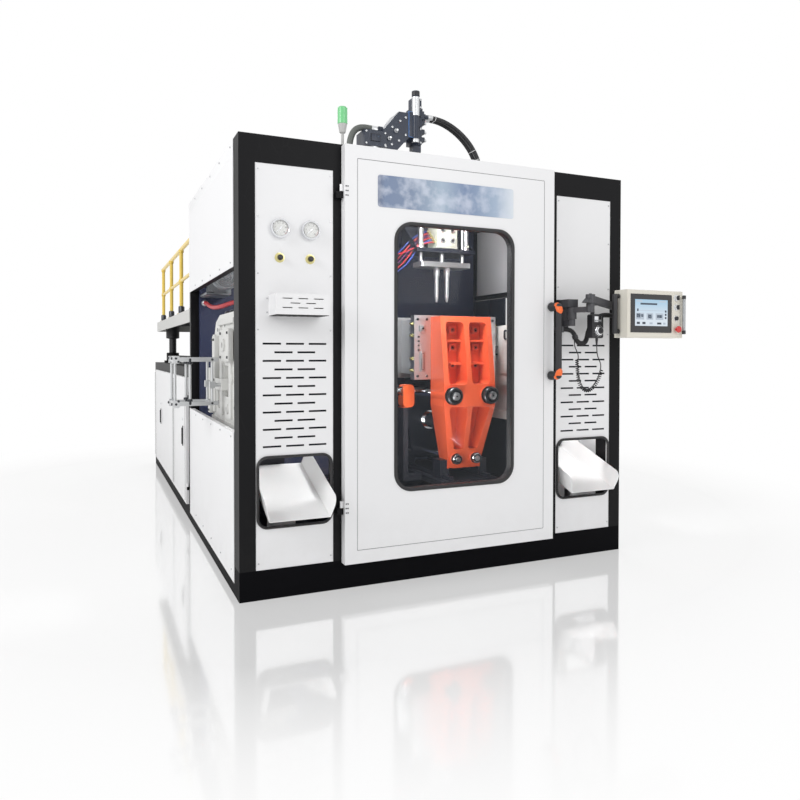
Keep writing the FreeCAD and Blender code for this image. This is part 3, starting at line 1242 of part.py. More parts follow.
def make_hydraulic_unit():
    """Oil tank with the pump and its motor, inside the rear bay."""
    x = "600"
    parts = [
        block(x, "cabinet_door_rear - 1300", "base_height + sheet", "1000", "800", "440"),
        block(f"{x} + 100", "cabinet_door_rear - 1200", "base_height + sheet + 440", "700", "320", "24"),
        rod(f"{x} + 130", "cabinet_door_rear - 1040", "base_height + sheet + 594", "120", "380", "x"),
        block(f"{x} + 180", "cabinet_door_rear - 1120", "base_height + sheet + 464", "280", "160", "60"),
        rod(f"{x} + 510", "cabinet_door_rear - 1040", "base_height + sheet + 594", "80", "150", "x"),
        block(f"{x} + 640", "cabinet_door_rear - 1110", "base_height + sheet + 464", "60", "140", "60"),
    ]
    keep("hydraulic_unit", fused(parts))


def make_platform():
    """The deck with its edge beams and joists, and the levelling jacks under it."""
    front = "module_depth + 12"
    long = f"platform_rear - ({front})"
    bottom = "platform_top - platform_fascia"
    parts = [
        block("0", front, "platform_top - 6", "width", long, "6"),
        block("0", front, bottom, "8", long, "platform_fascia"),
        block("width - 8", front, bottom, "8", long, "platform_fascia"),
        block("0", front, bottom, "width", "8", "platform_fascia"),
        block("0", "platform_rear - 8", bottom, "width", "8", "platform_fascia"),
    ]
    joists = 7
    for index in range(1, joists):
        y = f"{front} + ({long}) * {index} / {joists}"
        parts.append(block("0", y, "platform_top - 6 - joist_depth", "width", "50", "joist_depth + 2"))
    housings = []
    for x in ("150", "width - 150"):
        for y in (JACK_FRONT, JACK_REAR):
            screw = turned([("0", "14"), ("jack_radius", "14"),
                            ("jack_radius", f"{bottom} - cabinet_top - 82"),
                            ("70", f"{bottom} - cabinet_top - 74"),
                            ("70", "platform_top - 6 - cabinet_top"),
                            ("0", "platform_top - 6 - cabinet_top")], (x, y, "cabinet_top"))
            parts.append(screw)
            housings.append(turned([("jack_radius + fit", "0"), ("90", "0"), ("90", "24"), ("66", "24"),
                                    ("66", "104"), ("60", "110"), ("jack_radius + fit", "110")],
                                   (x, y, "cabinet_top")))
        housings.append(rod(x, f"{JACK_FRONT} + 52", "cabinet_top + 62", "20",
                            f"{JACK_REAR} - {JACK_FRONT} - 104", "y"))
    keep("platform", fused(parts))
    keep("levelling_jacks", fused(housings))


JACK_FRONT = "(module_depth + 180)"
JACK_REAR = "(platform_rear - 150)"


def handrail():
    """Posts in sockets with a top and a middle bar, along one side of the platform."""
    x = "38"
    front = "module_depth + 50"
    rear = "platform_rear - 340"
    parts = []
    posts = 4
    for index in range(posts):
        y = f"{front} + ({rear} - ({front})) * {index} / {posts - 1}"
        parts.append(rod(x, y, "platform_top", "rail_post", "rail_post_height"))
        parts.append(rod(x, y, "platform_top", "rail_tube + 8", "46"))
        parts.append(block(f"{x} - 32", f"{y} - 32", "platform_top", "64", "64", "8"))
    for z, radius in (("rail_post_height", "rail_tube"), ("rail_mid", "rail_bar")):
        parts.append(rod(x, f"{front} - rail_tube", f"platform_top + {z}", radius,
                         f"{rear} - ({front}) + 2 * rail_tube", "y"))
    return fused(parts)


def make_handrails():
    keep("handrails", group([handrail(), mirrored(handrail())]))


def make_signal_lamp():
    lamp = turned([("0", "0"), ("26", "0"), ("26", "6"), ("8", "6"), ("8", "lamp_top - height - 145"),
                   ("17", "lamp_top - height - 138"), ("25", "lamp_top - height - 92"),
                   ("27", "lamp_top - height - 90"), ("27", "lamp_top - height - 6"),
                   ("22", "lamp_top - height"), ("0", "lamp_top - height")],
                  ("lamp_x", "lamp_y", "height"))
    keep("signal_lamp", lamp)


# ---- operator's box on its arm ---------------------------------------------------------------------

OUTER_LOW = "(arm_height + link_height + 2)"
SWIVEL_LOW = "(arm_height - swivel_drop)"
LINK_LONG = "sqrt((swivel_x - elbow_x)^2 + (elbow_out - swivel_out)^2)"


def make_arm():
    """A forked wall bracket, two links on vertical pins, and the pivot behind the box."""
    bracket = [
        block("arm_x - 46", "-14", "arm_height - 110", "88", "14", "190"),
        block("arm_x - 46", "-arm_out - link_radius - 4", "arm_height + 30", "72",
              "arm_out + link_radius - 10", "46"),
        block("arm_x - 18", "-arm_out", "arm_height - 84", "36", "arm_out - 10", "36"),
        rod("arm_x", "-arm_out", "arm_height - 84", "link_radius - 2", "40"),
        rod("arm_x", "-arm_out", "arm_height - 84", "arm_pin", "130"),
        block("arm_x - 60", "-82", "arm_height - 124", "16", "82", "36"),
    ]
    keep("arm_bracket", fused(bracket))
    inner = fused([rod("arm_x", "-arm_out", "arm_height - 42", "link_radius + 6", "70"),
                   rod("elbow_x", "-elbow_out", "arm_height - 6", "link_radius", "link_height + 6"),
                   link_bar(("arm_x", "-arm_out"), ("elbow_x", "-elbow_out"), "arm_height - 4", "34",
                            "link_height - 14"),
                   rod("elbow_x", "-elbow_out", "arm_height", "arm_pin", "2 * link_height + 14")])
    keep("arm_link_inner", cut(inner, [rod("arm_x", "-arm_out", "arm_height - 43", "arm_pin + fit", "72")]))
    profile = [("-62", OUTER_LOW), ("-6", f"{OUTER_LOW} + link_height - 2"),
               ("8", f"{OUTER_LOW} + link_height - 2"),
               (LINK_LONG, f"{SWIVEL_LOW} + swivel_tall - 6"),
               (LINK_LONG, f"{SWIVEL_LOW} + swivel_tall / 2"),
               ("32", OUTER_LOW)]
    outer = [link_plate(("elbow_x", "-elbow_out"), ("swivel_x", "-swivel_out"), profile, "link_wide"),
             rod("elbow_x", "-elbow_out", OUTER_LOW, "link_radius + 4", "link_height + 6"),
             rod("swivel_x", "-swivel_out", SWIVEL_LOW, "link_radius", "swivel_tall"),
             rod("swivel_x - 40", "-swivel_out", CONDUIT_END, "conduit_radius + 3", "24", "x")]
    hook_y = "-pendant_out + pendant_depth"
    outer += [block("pendant_x - 14", hook_y, "pendant_bottom + pendant_height / 2", "28", "5",
                    f"{OUTER_LOW} - pendant_bottom - pendant_height / 2"),
              block("pendant_x - 14", f"{hook_y} - 68", f"{OUTER_LOW} - 6", "28", "73", "6")]
    tools = [rod("elbow_x", "-elbow_out", f"{OUTER_LOW} - 1", "arm_pin + fit", "2 * link_height"),
             rod("swivel_x", "-swivel_out", f"{SWIVEL_LOW} - 1", "arm_pin + fit", "swivel_tall + 2")]
    keep("arm_link_outer", cut(fused(outer), tools))


CONDUIT_END = f"({SWIVEL_LOW} + 23)"


def link_plate(start, end, points, wide):
    """A plate on edge between two vertical pins, from an outline along the line that joins them."""
    turn = math.atan2(num(end[1]) - num(start[1]), num(end[0]) - num(start[0]))
    at = (f"{start[0]} + {wide} / 2 * {math.sin(turn):.6f}",
          f"{start[1]} - {wide} / 2 * {math.cos(turn):.6f}", "0")
    plate = slab("XZ", points, wide, at)
    plate.Placement.Rotation = FreeCAD.Rotation(Vector(0, 0, 1), math.degrees(turn))
    return plate


def link_bar(start, end, z, wide, tall):
    """A straight bar between two vertical pins."""
    x1, y1 = num(start[0]), num(start[1])
    x2, y2 = num(end[0]), num(end[1])
    length = math.hypot(x2 - x1, y2 - y1)
    bar = doc.addObject("Part::Box", "link_bar")
    bind(bar, Length=str(length), Width=wide, Height=tall)
    turn = FreeCAD.Rotation(Vector(0, 0, 1), math.degrees(math.atan2(y2 - y1, x2 - x1)))
    side = turn.multVec(Vector(0, -num(wide) / 2, 0))
    corner_x, corner_y, corner_z = (num(text) for text in corner(start[0], start[1], z))
    bar.Placement = FreeCAD.Placement(Vector(corner_x + side.x, corner_y + side.y, corner_z), turn)
    return bar


BOX_FRONT = "(-box_front)"


def make_operator_box():
    """The box with its screen, controls and two bar handles; the switches are nodes of their own."""
    shell = rounded(block("box_left", BOX_FRONT, "box_bottom", "box_width", "box_depth", "box_height"), "6",
                    "x")
    ear_y = "-box_front + box_depth"
    ears = [block("swivel_x - 30", ear_y, f"{SWIVEL_LOW} - 16", "60",
                  "box_front - box_depth - swivel_out", "14"),
            rod("swivel_x", "-swivel_out", f"{SWIVEL_LOW} - 16", "26", "14"),
            rod("swivel_x", "-swivel_out", f"{SWIVEL_LOW} - 16", "arm_pin", "swivel_tall + 24")]
    holes = []
    for x, z, radius, name in CONTROLS:
        holes.append(rod(x, f"{BOX_FRONT} - 1", z, f"{radius} + fit", "41", "y"))
    bezel_recess = block(f"{BEZEL_LEFT}", f"{BOX_FRONT} - 1", BEZEL_BOTTOM, "bezel_width", "5",
                         "bezel_height")
    bezel = block(BEZEL_LEFT, f"{BOX_FRONT} - 3", BEZEL_BOTTOM, "bezel_width", "7", "bezel_height")
    screen = block(f"{BEZEL_LEFT} + bezel_width / 2 - screen_width / 2", f"{BOX_FRONT} - 4",
                   f"{BEZEL_BOTTOM} + bezel_height / 2 - screen_height / 2 + 4", "screen_width", "2",
                   "screen_height")
    keep("screen_bezel", cut(bezel, [screen]))
    grip_low, grip_tall = "box_bottom + 28", "box_height - 56"
    left = fused([rod("box_left - 26", f"{BOX_FRONT} + box_depth * 0.62", grip_low, "7", grip_tall),
                  rod("box_left - 26", f"{BOX_FRONT} + box_depth * 0.62", f"{grip_low} + 10", "6", "26",
                      "x"),
                  rod("box_left - 26", f"{BOX_FRONT} + box_depth * 0.62",
                      f"{grip_low} + ({grip_tall}) - 10", "6", "26", "x")])
    right_x = "box_left + box_width - 14"
    right = fused([rod(right_x, f"{BOX_FRONT} - 26", grip_low, "7", grip_tall),
                   rod(right_x, f"{BOX_FRONT} - 26", f"{grip_low} + 10", "6", "26", "y"),
                   rod(right_x, f"{BOX_FRONT} - 26", f"{grip_low} + ({grip_tall}) - 10", "6", "26", "y")])
    keep("operator_box", cut(fused([shell, left, right] + ears), holes + [bezel_recess]))


BEZEL_LEFT = "(box_left + 26)"
BEZEL_BOTTOM = "(box_bottom + 32)"
CONTROL_X = f"({BEZEL_LEFT} + bezel_width + 38)"
CONTROLS = [
    (CONTROL_X, "(box_bottom + 248)", "6", "selector_upper"),
    (CONTROL_X, "(box_bottom + 190)", "6", "selector_lower"),
    (CONTROL_X, "(box_bottom + 122)", "6", "push_button"),
    (CONTROL_X, "(box_bottom + 54)", "6", "emergency_stop"),
]


def make_controls():
    """Two selectors that turn, a push button and a mushroom stop that travel inwards."""
    for x, z, radius, name in CONTROLS:
        stem = rod(x, f"{BOX_FRONT} - 10", z, radius, "34", "y")
        if name.startswith("selector"):
            head = turned([("0", "-16"), ("13", "-16"), ("15", "-14"), ("15", "-1"), ("0", "-1")],
                          (x, BOX_FRONT, z), "y")
            lever = block(f"{x} - 4", f"{BOX_FRONT} - 26", f"{z} - 14", "8", "12", "28")
            keep(name, fused([stem, head, lever]))
        elif name == "push_button":
            head = turned([("0", "-12"), ("12", "-12"), ("13", "-11"), ("13", "-button_travel - 1"),
                           ("0", "-button_travel - 1")], (x, BOX_FRONT, z), "y")
            keep(name, fused([stem, head]))
        else:
            head = turned([("0", "-34"), ("12", "-33"), ("20", "-28"), ("20", "-21"), ("14", "-17"),
                           ("12", "-button_travel - 1"), ("0", "-button_travel - 1")], (x, BOX_FRONT, z),
                           "y")
            keep(name, fused([stem, head]))


def make_pendant():
    """The hand pendant on a hook under the inner link, with its dial."""
    left = "pendant_x - pendant_width / 2"
    front = "-pendant_out"
    case = rounded(block(left, front, "pendant_bottom", "pendant_width", "pendant_depth", "pendant_height"),
                   "12", "y")
    neck = cone("pendant_x + 12", f"{front} + pendant_depth / 2", "pendant_bottom - 30", "5", "9", "30")
    socket = rod("pendant_x + 8", f"{front} - 1", "pendant_bottom + 44", "6 + fit", "25", "y")
    keep("pendant", cut(fused([case, neck]), [socket]))
    dial = fused([turned([("0", "-16"), ("22", "-16"), ("25", "-13"), ("25", "-1"), ("0", "-1")],
                         ("pendant_x + 8", front, "pendant_bottom + 44"), "y"),
                  rod("pendant_x + 8", f"{front} - 4", "pendant_bottom + 44", "6", "24", "y"),
                  rod("pendant_x + 8", f"{front} - 24", "pendant_bottom + 60", "5", "12", "y")])
    keep("pendant_dial", dial)


# ---- hoses and wires ----------------------------------------------------------------------------

def spot(x, y, z):
    return Vector(num(x), num(y), num(z))


def bent_path(points):
    """Straight runs with an arc at each inner point, as large as its two runs allow."""
    edges, radii = [], []
    start = points[0]
    for before, here, after in zip(points, points[1:], points[2:]):
        back, ahead = before - here, after - here
        shorter = min(back.Length, ahead.Length)
        turn = math.pi - back.getAngle(ahead)
        setback = 0.45 * shorter
        radius = setback / math.tan(turn / 2)
        first = here + back.normalize() * setback
        last = here + ahead.normalize() * setback
        bisector = (back + ahead).normalize()
        middle = here + bisector * (radius / math.cos(turn / 2) - radius)
        edges += [Part.LineSegment(start, first).toShape(), Part.Arc(first, middle, last).toShape()]
        radii.append(radius)
        start = last
    edges.append(Part.LineSegment(start, points[-1]).toShape())
    return Part.Wire(edges), radii


def tube(name, points, radius):
    """A round cord along a bent path."""
    path, radii = bent_path(points)
    ring = Part.Wire(Part.Circle(points[0], points[1] - points[0], radius).toShape())
    shape = path.makePipeShell([ring], True, False)
    print(f"{name}: length {path.Length:.0f}, radii " + ", ".join(f"{value:.0f}" for value in radii)
          + f", volume over section times length {shape.Volume / (math.pi * radius ** 2 * path.Length):.4f}")
    return shape


def stations(path, distances):
    """Places and directions at distances along a path."""
    found = []
    for distance in distances:
        passed = 0.0
        for edge in path.OrderedEdges:
            if distance <= passed + edge.Length + 1e-9:
                where = edge.getParameterByLength(min(max(distance - passed, 0.0), edge.Length))
                found.append((edge.valueAt(where), edge.tangentAt(where)))
                break
            passed += edge.Length
    return found


def arc_from(start, direction, end):
    """The arc that leaves the start along a direction and passes through the end."""
    chord = end - start
    side = (chord - direction * chord.dot(direction)).normalize()
    centre = start + side * (chord.dot(chord) / (2 * chord.dot(side)))
    middle = centre + ((start - centre) + (end - centre)).normalize() * (start - centre).Length
    return Part.Arc(start, middle, end).toShape()


def biarc(start, leaving, end, arriving):
    """Two arcs with one tangent where they meet."""
    span, sum_ = end - start, leaving + arriving
    square = 2 * (1 - leaving.dot(arriving))
    reach = (math.sqrt(span.dot(sum_) ** 2 + square * span.dot(span)) - span.dot(sum_)) / square
    joint = (start + leaving * reach + end - arriving * reach) * 0.5
    return [arc_from(start, leaving, joint), arc_from(end, arriving * -1, joint)]


def curled(name, points, wire, outer, curls):
    """A curled wire along a path: one tube on biarcs of a quarter turn, with straight ends."""
    path, radii = bent_path(points)
    coil, straight, quarter = outer - wire, 2 * wire, math.pi / 2
    across = Vector(0, 1, 0)

    def on_coil(angle):
        distance = straight + (path.Length - 2 * straight) * angle / (curls * 2 * math.pi)
        (middle, direction), = stations(path, [distance])
        side = across.cross(direction).normalize()
        return middle + side * (coil * math.cos(angle)) + across * (coil * math.sin(angle))

    def heading(angle):
        return (on_coil(angle + 1e-3) - on_coil(angle - 1e-3)).normalize()

    turns = [(on_coil(quarter * step), heading(quarter * step)) for step in range(4 * curls + 1)]
    edges = [Part.LineSegment(turns[0][0] - turns[0][1] * straight, turns[0][0]).toShape()]
    for (start, leaving), (end, arriving) in zip(turns, turns[1:]):
        edges += biarc(start, leaving, end, arriving)
    edges.append(Part.LineSegment(turns[-1][0], turns[-1][0] + turns[-1][1] * straight).toShape())
    route = Part.Wire(edges)
    first = edges[0].valueAt(edges[0].FirstParameter)
    shape = route.makePipeShell([Part.Wire(Part.Circle(first, turns[0][1], wire).toShape())], True, False)
    samples = [on_coil(math.pi / 12 * step) for step in range(24 * curls)]
    gap = min((samples[low] - samples[high]).Length for low in range(len(samples))
              for high in range(low + 12, min(low + 40, len(samples)))) - 2 * wire
    print(f"{name}: path {path.Length:.0f}, wire {route.Length:.0f}, radii "
          + ", ".join(f"{value:.0f}" for value in radii)
          + f", least gap to itself {gap:.2f}")
    return shape, first, edges[-1].valueAt(edges[-1].LastParameter)


def keep_shape(name, shape):
    feature = doc.addObject("Part::Feature", name)
    feature.Shape = shape
    return keep(name, place(feature, ("0", "0", "0")))


def make_hoses():
    """The grey return hose and the two black pressure hoses over the roof."""
    grey = [spot("head_x + 38", "parting_y", RETURN_Z),
            spot("head_x - 50", "parting_y", f"{RETURN_Z} + 12"),
            spot("head_x - 125", "parting_y", f"{RETURN_Z} - 12"),
            spot("head_x - 162", "parting_y", f"{RETURN_Z} - 92"),
            spot("head_x - 166", "parting_y", f"{RETURN_Z} - 215"),
            spot(RETURN_X, "parting_y", "height + 80")]
    keep_shape("hose_grey", tube("hose_grey", grey, num("return_hose")))
    pair = []
    for side in (-1, 1):
        y = f"parting_y + 27 * {side}"
        start = "head_x + 288 + 134"
        route = [(start, y, PORT_Z), (f"{start} + 84", y, f"{PORT_Z} + 2"),
                 (f"{start} + 195", f"{y} - 10", f"{PORT_Z} - 38"),
                 (f"{start} + 295", f"{y} - 24", f"{PORT_Z} - 112"),
                 (f"{start} + 366", f"{y} - 40", f"{PORT_Z} - 208"),
                 (f"{start} + 408", f"{y} - 52", f"{PORT_Z} - 322"),
                 (SLEEVE_X, f"{SLEEVE_Y} + 27 * {side}", f"{PORT_Z} - 440"),
                 (SLEEVE_X, f"{SLEEVE_Y} + 27 * {side} - 0.5", "height - 20")]
        pair.append(tube("hose_pair", [spot(*point) for point in route], num("pressure_hose")))
    keep_shape("hose_pair", Part.makeCompound(pair))


def make_wires():
    """The conduit from the bracket, and the pendant's lead with its curled stretch."""
    route = [(-35, -62, -104), (2, -76, -104), (24, -94, -128), (27, -105, -166), (52, -108, -190),
             (86, -108, -191), (112, -102, -170), (122, -100, -124), (146, -98, -80), (178, -97, -42),
             (222, -96, -16), (280, -97, -10), (340, -104, -18), (393, -110, -23)]
    conduit = [spot(f"arm_x + ({x})", str(y), f"arm_height + ({z})") for x, y, z in route]
    keep_shape("conduit", tube("conduit", conduit, num("conduit_radius")))
    neck_y = "-pendant_out + pendant_depth / 2"
    route = [(54, -186), (32, -250), (-16, -310), (-70, -326), (-116, -288), (-133, -216), (-137, -122)]
    curl = [spot(f"pendant_x + ({x})", neck_y, f"pendant_bottom + ({z})") for x, z in route]
    coil, coil_start, coil_end = curled("curly_cord", curl, num("wire_radius"), num("curl_radius"),
                                        int(num("curl_count")))
    keep_shape("curly_cord", coil)
    lower = [spot("pendant_x + 12", neck_y, "pendant_bottom - 30"),
             spot("pendant_x + 12", f"{neck_y} - 0.5", "pendant_bottom - 72"),
             spot("pendant_x + 20", neck_y, "pendant_bottom - 116"),
             spot("pendant_x + 42", f"{neck_y} - 4", "pendant_bottom - 154"), coil_start]
    upper = [coil_end, spot("pendant_x - 120", f"{neck_y} + 8", "pendant_bottom - 98"),
             spot("pendant_x - 138", f"{neck_y} + 16", "pendant_bottom - 62"),
             spot("pendant_x - 140", f"{neck_y} + 25", "pendant_bottom - 22"),
             spot("arm_x + 18", "-110", "arm_height - 138")]
    keep_shape("pendant_lead", Part.makeCompound([tube("lower lead", lower, num("wire_radius")),
                                                  tube("upper lead", upper, num("wire_radius"))]))


def main():
    make_base_frame()
    make_main_frame()
    make_front_panels()
    make_chutes()
    make_vent_hood()
    make_side_covers()
    make_roof_panel()
    make_bulkhead()
    make_door()
    make_door_hinges()
    make_door_handle()
    make_gauges()
    make_bed()
    make_carriage()
    make_front_platen()
    make_tie_bars()
    make_moulds()
    make_rear_platen()
    make_clamp_cylinder()
    make_blow_unit()
    make_deflash_units()
    make_takeout_frame()
    make_extruder()
    make_die_head()
    make_valve_set()
    make_rear_cabinet()
    make_cabinet_doors()
    make_hydraulic_unit()
    make_platform()
    make_handrails()
    make_signal_lamp()
    make_arm()
    make_operator_box()
    make_controls()
    make_pendant()
    make_hoses()
    make_wires()
    doc.recompute()
    check_and_write()


def check_and_write():
    """Stops with a list of what failed, and writes nothing unless every part is sound."""
    faults = [f"{thing.Label}: {thing.State}" for thing in doc.Objects
              if "Invalid" in thing.State or "Error" in thing.State]
    for name, part in pieces.items():
        if part.Shape.isNull() or not part.Shape.isValid() or not part.Shape.Solids:
            faults.append(f"{name}: no valid solid")
    if faults:
        raise RuntimeError("; ".join(faults))
    os.makedirs("parts", exist_ok=True)
    for name, part in pieces.items():
        part.Shape.exportStep(os.path.join("parts", name + ".step"))
        box = part.Shape.BoundBox
        print(f"{name:22s} solids {len(part.Shape.Solids):2d} volume {part.Shape.Volume / 1e6:9.3f} l"
              f"  x {box.XMin:8.1f} {box.XMax:8.1f} y {box.YMin:8.1f} {box.YMax:8.1f}"
              f" z {box.ZMin:8.1f} {box.ZMax:8.1f}")
    print(len(pieces), "nodes")


main()
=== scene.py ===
# %% [markdown]
# # A blow moulding machine
# This lesson dresses a shuttle blow moulding machine. Its shape comes from a CAD model that is
# already in the right place, so the first cell loads that model and keeps its box.
# Lengths in this file are in millimetres from the machine's left front corner at floor level,
# because that is how a fitter measures such a machine. One small helper turns them into metres.

# %% Load the frame
import math

import bmesh
import bpy
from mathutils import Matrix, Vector


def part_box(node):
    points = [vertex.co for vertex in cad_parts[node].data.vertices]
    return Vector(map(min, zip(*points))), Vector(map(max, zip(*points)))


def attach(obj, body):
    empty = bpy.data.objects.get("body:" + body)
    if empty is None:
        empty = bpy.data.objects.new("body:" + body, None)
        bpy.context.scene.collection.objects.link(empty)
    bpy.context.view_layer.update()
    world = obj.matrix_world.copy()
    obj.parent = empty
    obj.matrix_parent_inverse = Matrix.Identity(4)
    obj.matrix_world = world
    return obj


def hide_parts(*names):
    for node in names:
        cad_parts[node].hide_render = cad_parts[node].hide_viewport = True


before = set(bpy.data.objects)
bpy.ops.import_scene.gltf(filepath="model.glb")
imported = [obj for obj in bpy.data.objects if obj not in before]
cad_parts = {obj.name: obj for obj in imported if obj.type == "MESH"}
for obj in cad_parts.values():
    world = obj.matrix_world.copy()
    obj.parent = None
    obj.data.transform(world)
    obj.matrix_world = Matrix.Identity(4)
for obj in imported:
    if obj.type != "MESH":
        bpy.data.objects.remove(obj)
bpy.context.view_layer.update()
WIDE, LONG = 2460, 4960


def at(x, y, z):
    """A place measured from the left front corner, in millimetres, as a vector in metres."""
    return Vector(((x - WIDE / 2) / 1000, (y - LONG / 2) / 1000, z / 1000))


# %% [markdown]
# ## Camera
# The photograph is taken a little below eye level, from the left of the front. The camera's
# place and lens were worked out from the straight edges of the posts and the door, so they are
# typed in as numbers. The lens axis passes a little above the middle of the picture, which a
# small vertical shift reproduces without tilting the camera.

# %% Camera
PICTURE, FOCAL_LENGTH, SENSOR = 800, 698.9, 36
PITCH, ROLL, YAW = -0.0167, -0.001, -0.4173
camera_data = bpy.data.cameras.new("photo_camera")
camera_data.sensor_width = SENSOR
camera_data.lens = FOCAL_LENGTH / PICTURE * SENSOR
camera_data.shift_y = -0.045
camera_data.clip_end = 200
camera = bpy.data.objects.new("photo_camera", camera_data)
bpy.context.scene.collection.objects.link(camera)
camera.location = at(-690, -3577, 1284)
camera.rotation_euler = (math.pi / 2 + PITCH, ROLL, YAW)
bpy.context.scene.camera = camera
print("camera at", [round(v, 3) for v in camera.location])

# %% [markdown]
# ## Shader groups
# Paint, rubber and metal all share a few effects: a faint cloudiness of colour, fine grain that
# catches the light, dust that gathers low down, and light scuffs. Each effect is one node group
# with named sockets, so every material can use it with its own values. A group only puts out
# colours, masks and heights; the shader itself stays in the material.

# %% Helpers for nodes


def fill(made, **values):
    """Gives a node's inputs a value or another node's socket, by their name or an i and number."""
    for key, value in values.items():
        numbered = key[0] == "i" and key[1:].isdigit()
        socket = made.inputs[int(key[1:]) if numbered else key.replace("_", " ")]
        if isinstance(value, bpy.types.NodeSocket):
            made.id_data.links.new(value, socket)
        else:
            socket.default_value = value
    return made


def node(tree, kind, settings=None, **values):
    """A new node with its settings and inputs."""
    made = tree.nodes.new(kind)
    for key, value in (settings or {}).items():
        setattr(made, key, value)
    return fill(made, **values)


def maths(tree, operation, first, second=0.5):
    """The result of one sum; an operation on one value leaves the second as it is."""
    return node(tree, "ShaderNodeMath", {"operation": operation}, i0=first, i1=second).outputs[0]


def mapped(tree, value, low, high, to_low=0.0, to_high=1.0, **settings):
    """A value moved from one range to another, and held inside that."""
    return node(tree, "ShaderNodeMapRange", settings, Value=value, i1=low, i2=high, i3=to_low,
                i4=to_high).outputs[0]


def blended(tree, share, first, second):
    """A colour between two others."""
    return node(tree, "ShaderNodeMix", {"data_type": "RGBA"}, i0=share, i6=first,
                i7=second).outputs[2]


def own_place(tree):
    """The place on the object itself."""
    return tree.nodes.new("ShaderNodeTexCoord").outputs["Object"]


def axes(tree):
    """The same place as X, Y and Z."""
    return node(tree, "ShaderNodeSeparateXYZ", i0=own_place(tree)).outputs


def stretched(tree, factors):
    """The same place, pulled longer or shorter along its axes."""
    return node(tree, "ShaderNodeVectorMath", {"operation": "MULTIPLY"}, i0=own_place(tree),
                i1=factors).outputs[0]


def noise(tree, scale, detail, place=None, **more):
    """Smooth noise."""
    return node(tree, "ShaderNodeTexNoise", Vector=place or own_place(tree), Scale=scale,
                Detail=detail, **more).outputs["Fac"]


def new_group(name, results, **inputs):
    """An empty group; the default of an input tells its kind. Gives its tree, inputs and end."""
    tree = bpy.data.node_groups.new(name, "ShaderNodeTree")
    for label, default in inputs.items():
        kind = {3: "Vector", 4: "Color"}[len(default)] if isinstance(default, tuple) else "Float"
        socket = tree.interface.new_socket(name=label.replace("_", " "), in_out="INPUT",
                                           socket_type="NodeSocket" + kind)
        socket.default_value = default
    for label in results:
        kind = "Color" if label == "Color" else "Float"
        tree.interface.new_socket(name=label, in_out="OUTPUT", socket_type="NodeSocket" + kind)
    return tree, tree.nodes.new("NodeGroupInput").outputs, tree.nodes.new("NodeGroupOutput")


def covered(tree, given, end, mask, other, rougher):
    """Ends a group: where the mask is strong, the other colour shows and the skin is rougher."""
    much = maths(tree, "MULTIPLY", mask, given["Amount"])
    rough = node(tree, "ShaderNodeMath", {"operation": "MULTIPLY_ADD"}, i0=much, i1=rougher,
                 i2=given["Roughness"]).outputs[0]
    fill(end, Color=blended(tree, much, given["Color"], given[other]), Roughness=rough, Mask=much)


GREY, SURFACE = (0.8, 0.8, 0.8, 1), ("Color", "Roughness", "Mask")

# %% [markdown]
# ### Cloud
# Sprayed paint and cast metal are never one flat colour. Slow noise makes the colour a little
# lighter and darker over a hand's width. The mask goes out as well, to vary the roughness.

# %% Group: cloud
cloud, given, end = new_group("cloud", SURFACE, Color=GREY, Scale=3.0, Spread=0.08, Roughness=0.4)
slow = noise(cloud, given["Scale"], 5.0, Roughness=0.6)
swing = maths(cloud, "MULTIPLY", maths(cloud, "SUBTRACT", slow, 0.5), given["Spread"])
value = maths(cloud, "ADD", swing, 1.0)
tinted = node(cloud, "ShaderNodeHueSaturation", Color=given["Color"], Value=value)
rough = maths(cloud, "MULTIPLY", value, given["Roughness"])
fill(end, Color=tinted.outputs["Color"], Roughness=rough, Mask=slow)
print("group", cloud.name, len(cloud.nodes), "nodes")

# %% [markdown]
# ### Grain
# Powder coat has a fine orange peel, a casting a coarse sand skin, and machined steel long
# parallel lines. All three are noise at different scales and stretches, used as a height.

# %% Group: grain
grain, given, end = new_group("grain", ("Height", "Mask"), Scale=400.0, Stretch=(1, 1, 1))
fine = noise(grain, given["Scale"], 3.0, stretched(grain, given["Stretch"]), Roughness=0.55)
fill(end, Height=fine, Mask=fine)
print("group", grain.name, len(grain.nodes), "nodes")

# %% [markdown]
# ### Dust
# On a factory floor dust and oil mist settle low down and in patches. The mask is strong near
# the floor, fades out at about knee height, and is broken up by noise.

# %% Group: dust
dust, given, end = new_group("dust", SURFACE, Color=GREY, Dust_Color=(0.35, 0.31, 0.26, 1),
                             Amount=0.2, Top=0.6, Roughness=0.4)
low = mapped(dust, axes(dust)["Z"], 0.0, given["Top"], 1.0, 0.12)
patches = mapped(dust, noise(dust, 7.0, 6.0, Roughness=0.7), 0.42, 0.75)
covered(dust, given, end, maths(dust, "MULTIPLY", low, patches), "Dust Color", 0.5)
print("group", dust.name, len(dust.nodes), "nodes")

# %% [markdown]
# ### Scuffs
# Doors, grips and castings collect short scratches. Stretched cells give thin crossing lines,
# and a second noise keeps them to a few worn places.

# %% Group: scuffs
scuffs, given, end = new_group("scuffs", SURFACE, Color=GREY, Worn_Color=(0.5, 0.5, 0.5, 1),
                               Scale=12.0, Amount=0.3, Roughness=0.4)
cells = node(scuffs, "ShaderNodeTexVoronoi", {"feature": "DISTANCE_TO_EDGE"},
             Vector=stretched(scuffs, (1.0, 3.0, 0.35)), Scale=given["Scale"])
thin = mapped(scuffs, cells.outputs[0], 0.0, 0.018, 1.0, 0.0)
few = mapped(scuffs, noise(scuffs, 2.3, 3.0), 0.52, 0.68)
covered(scuffs, given, end, maths(scuffs, "MULTIPLY", thin, few), "Worn Color", 0.2)
print("group", scuffs.name, len(scuffs.nodes), "nodes")

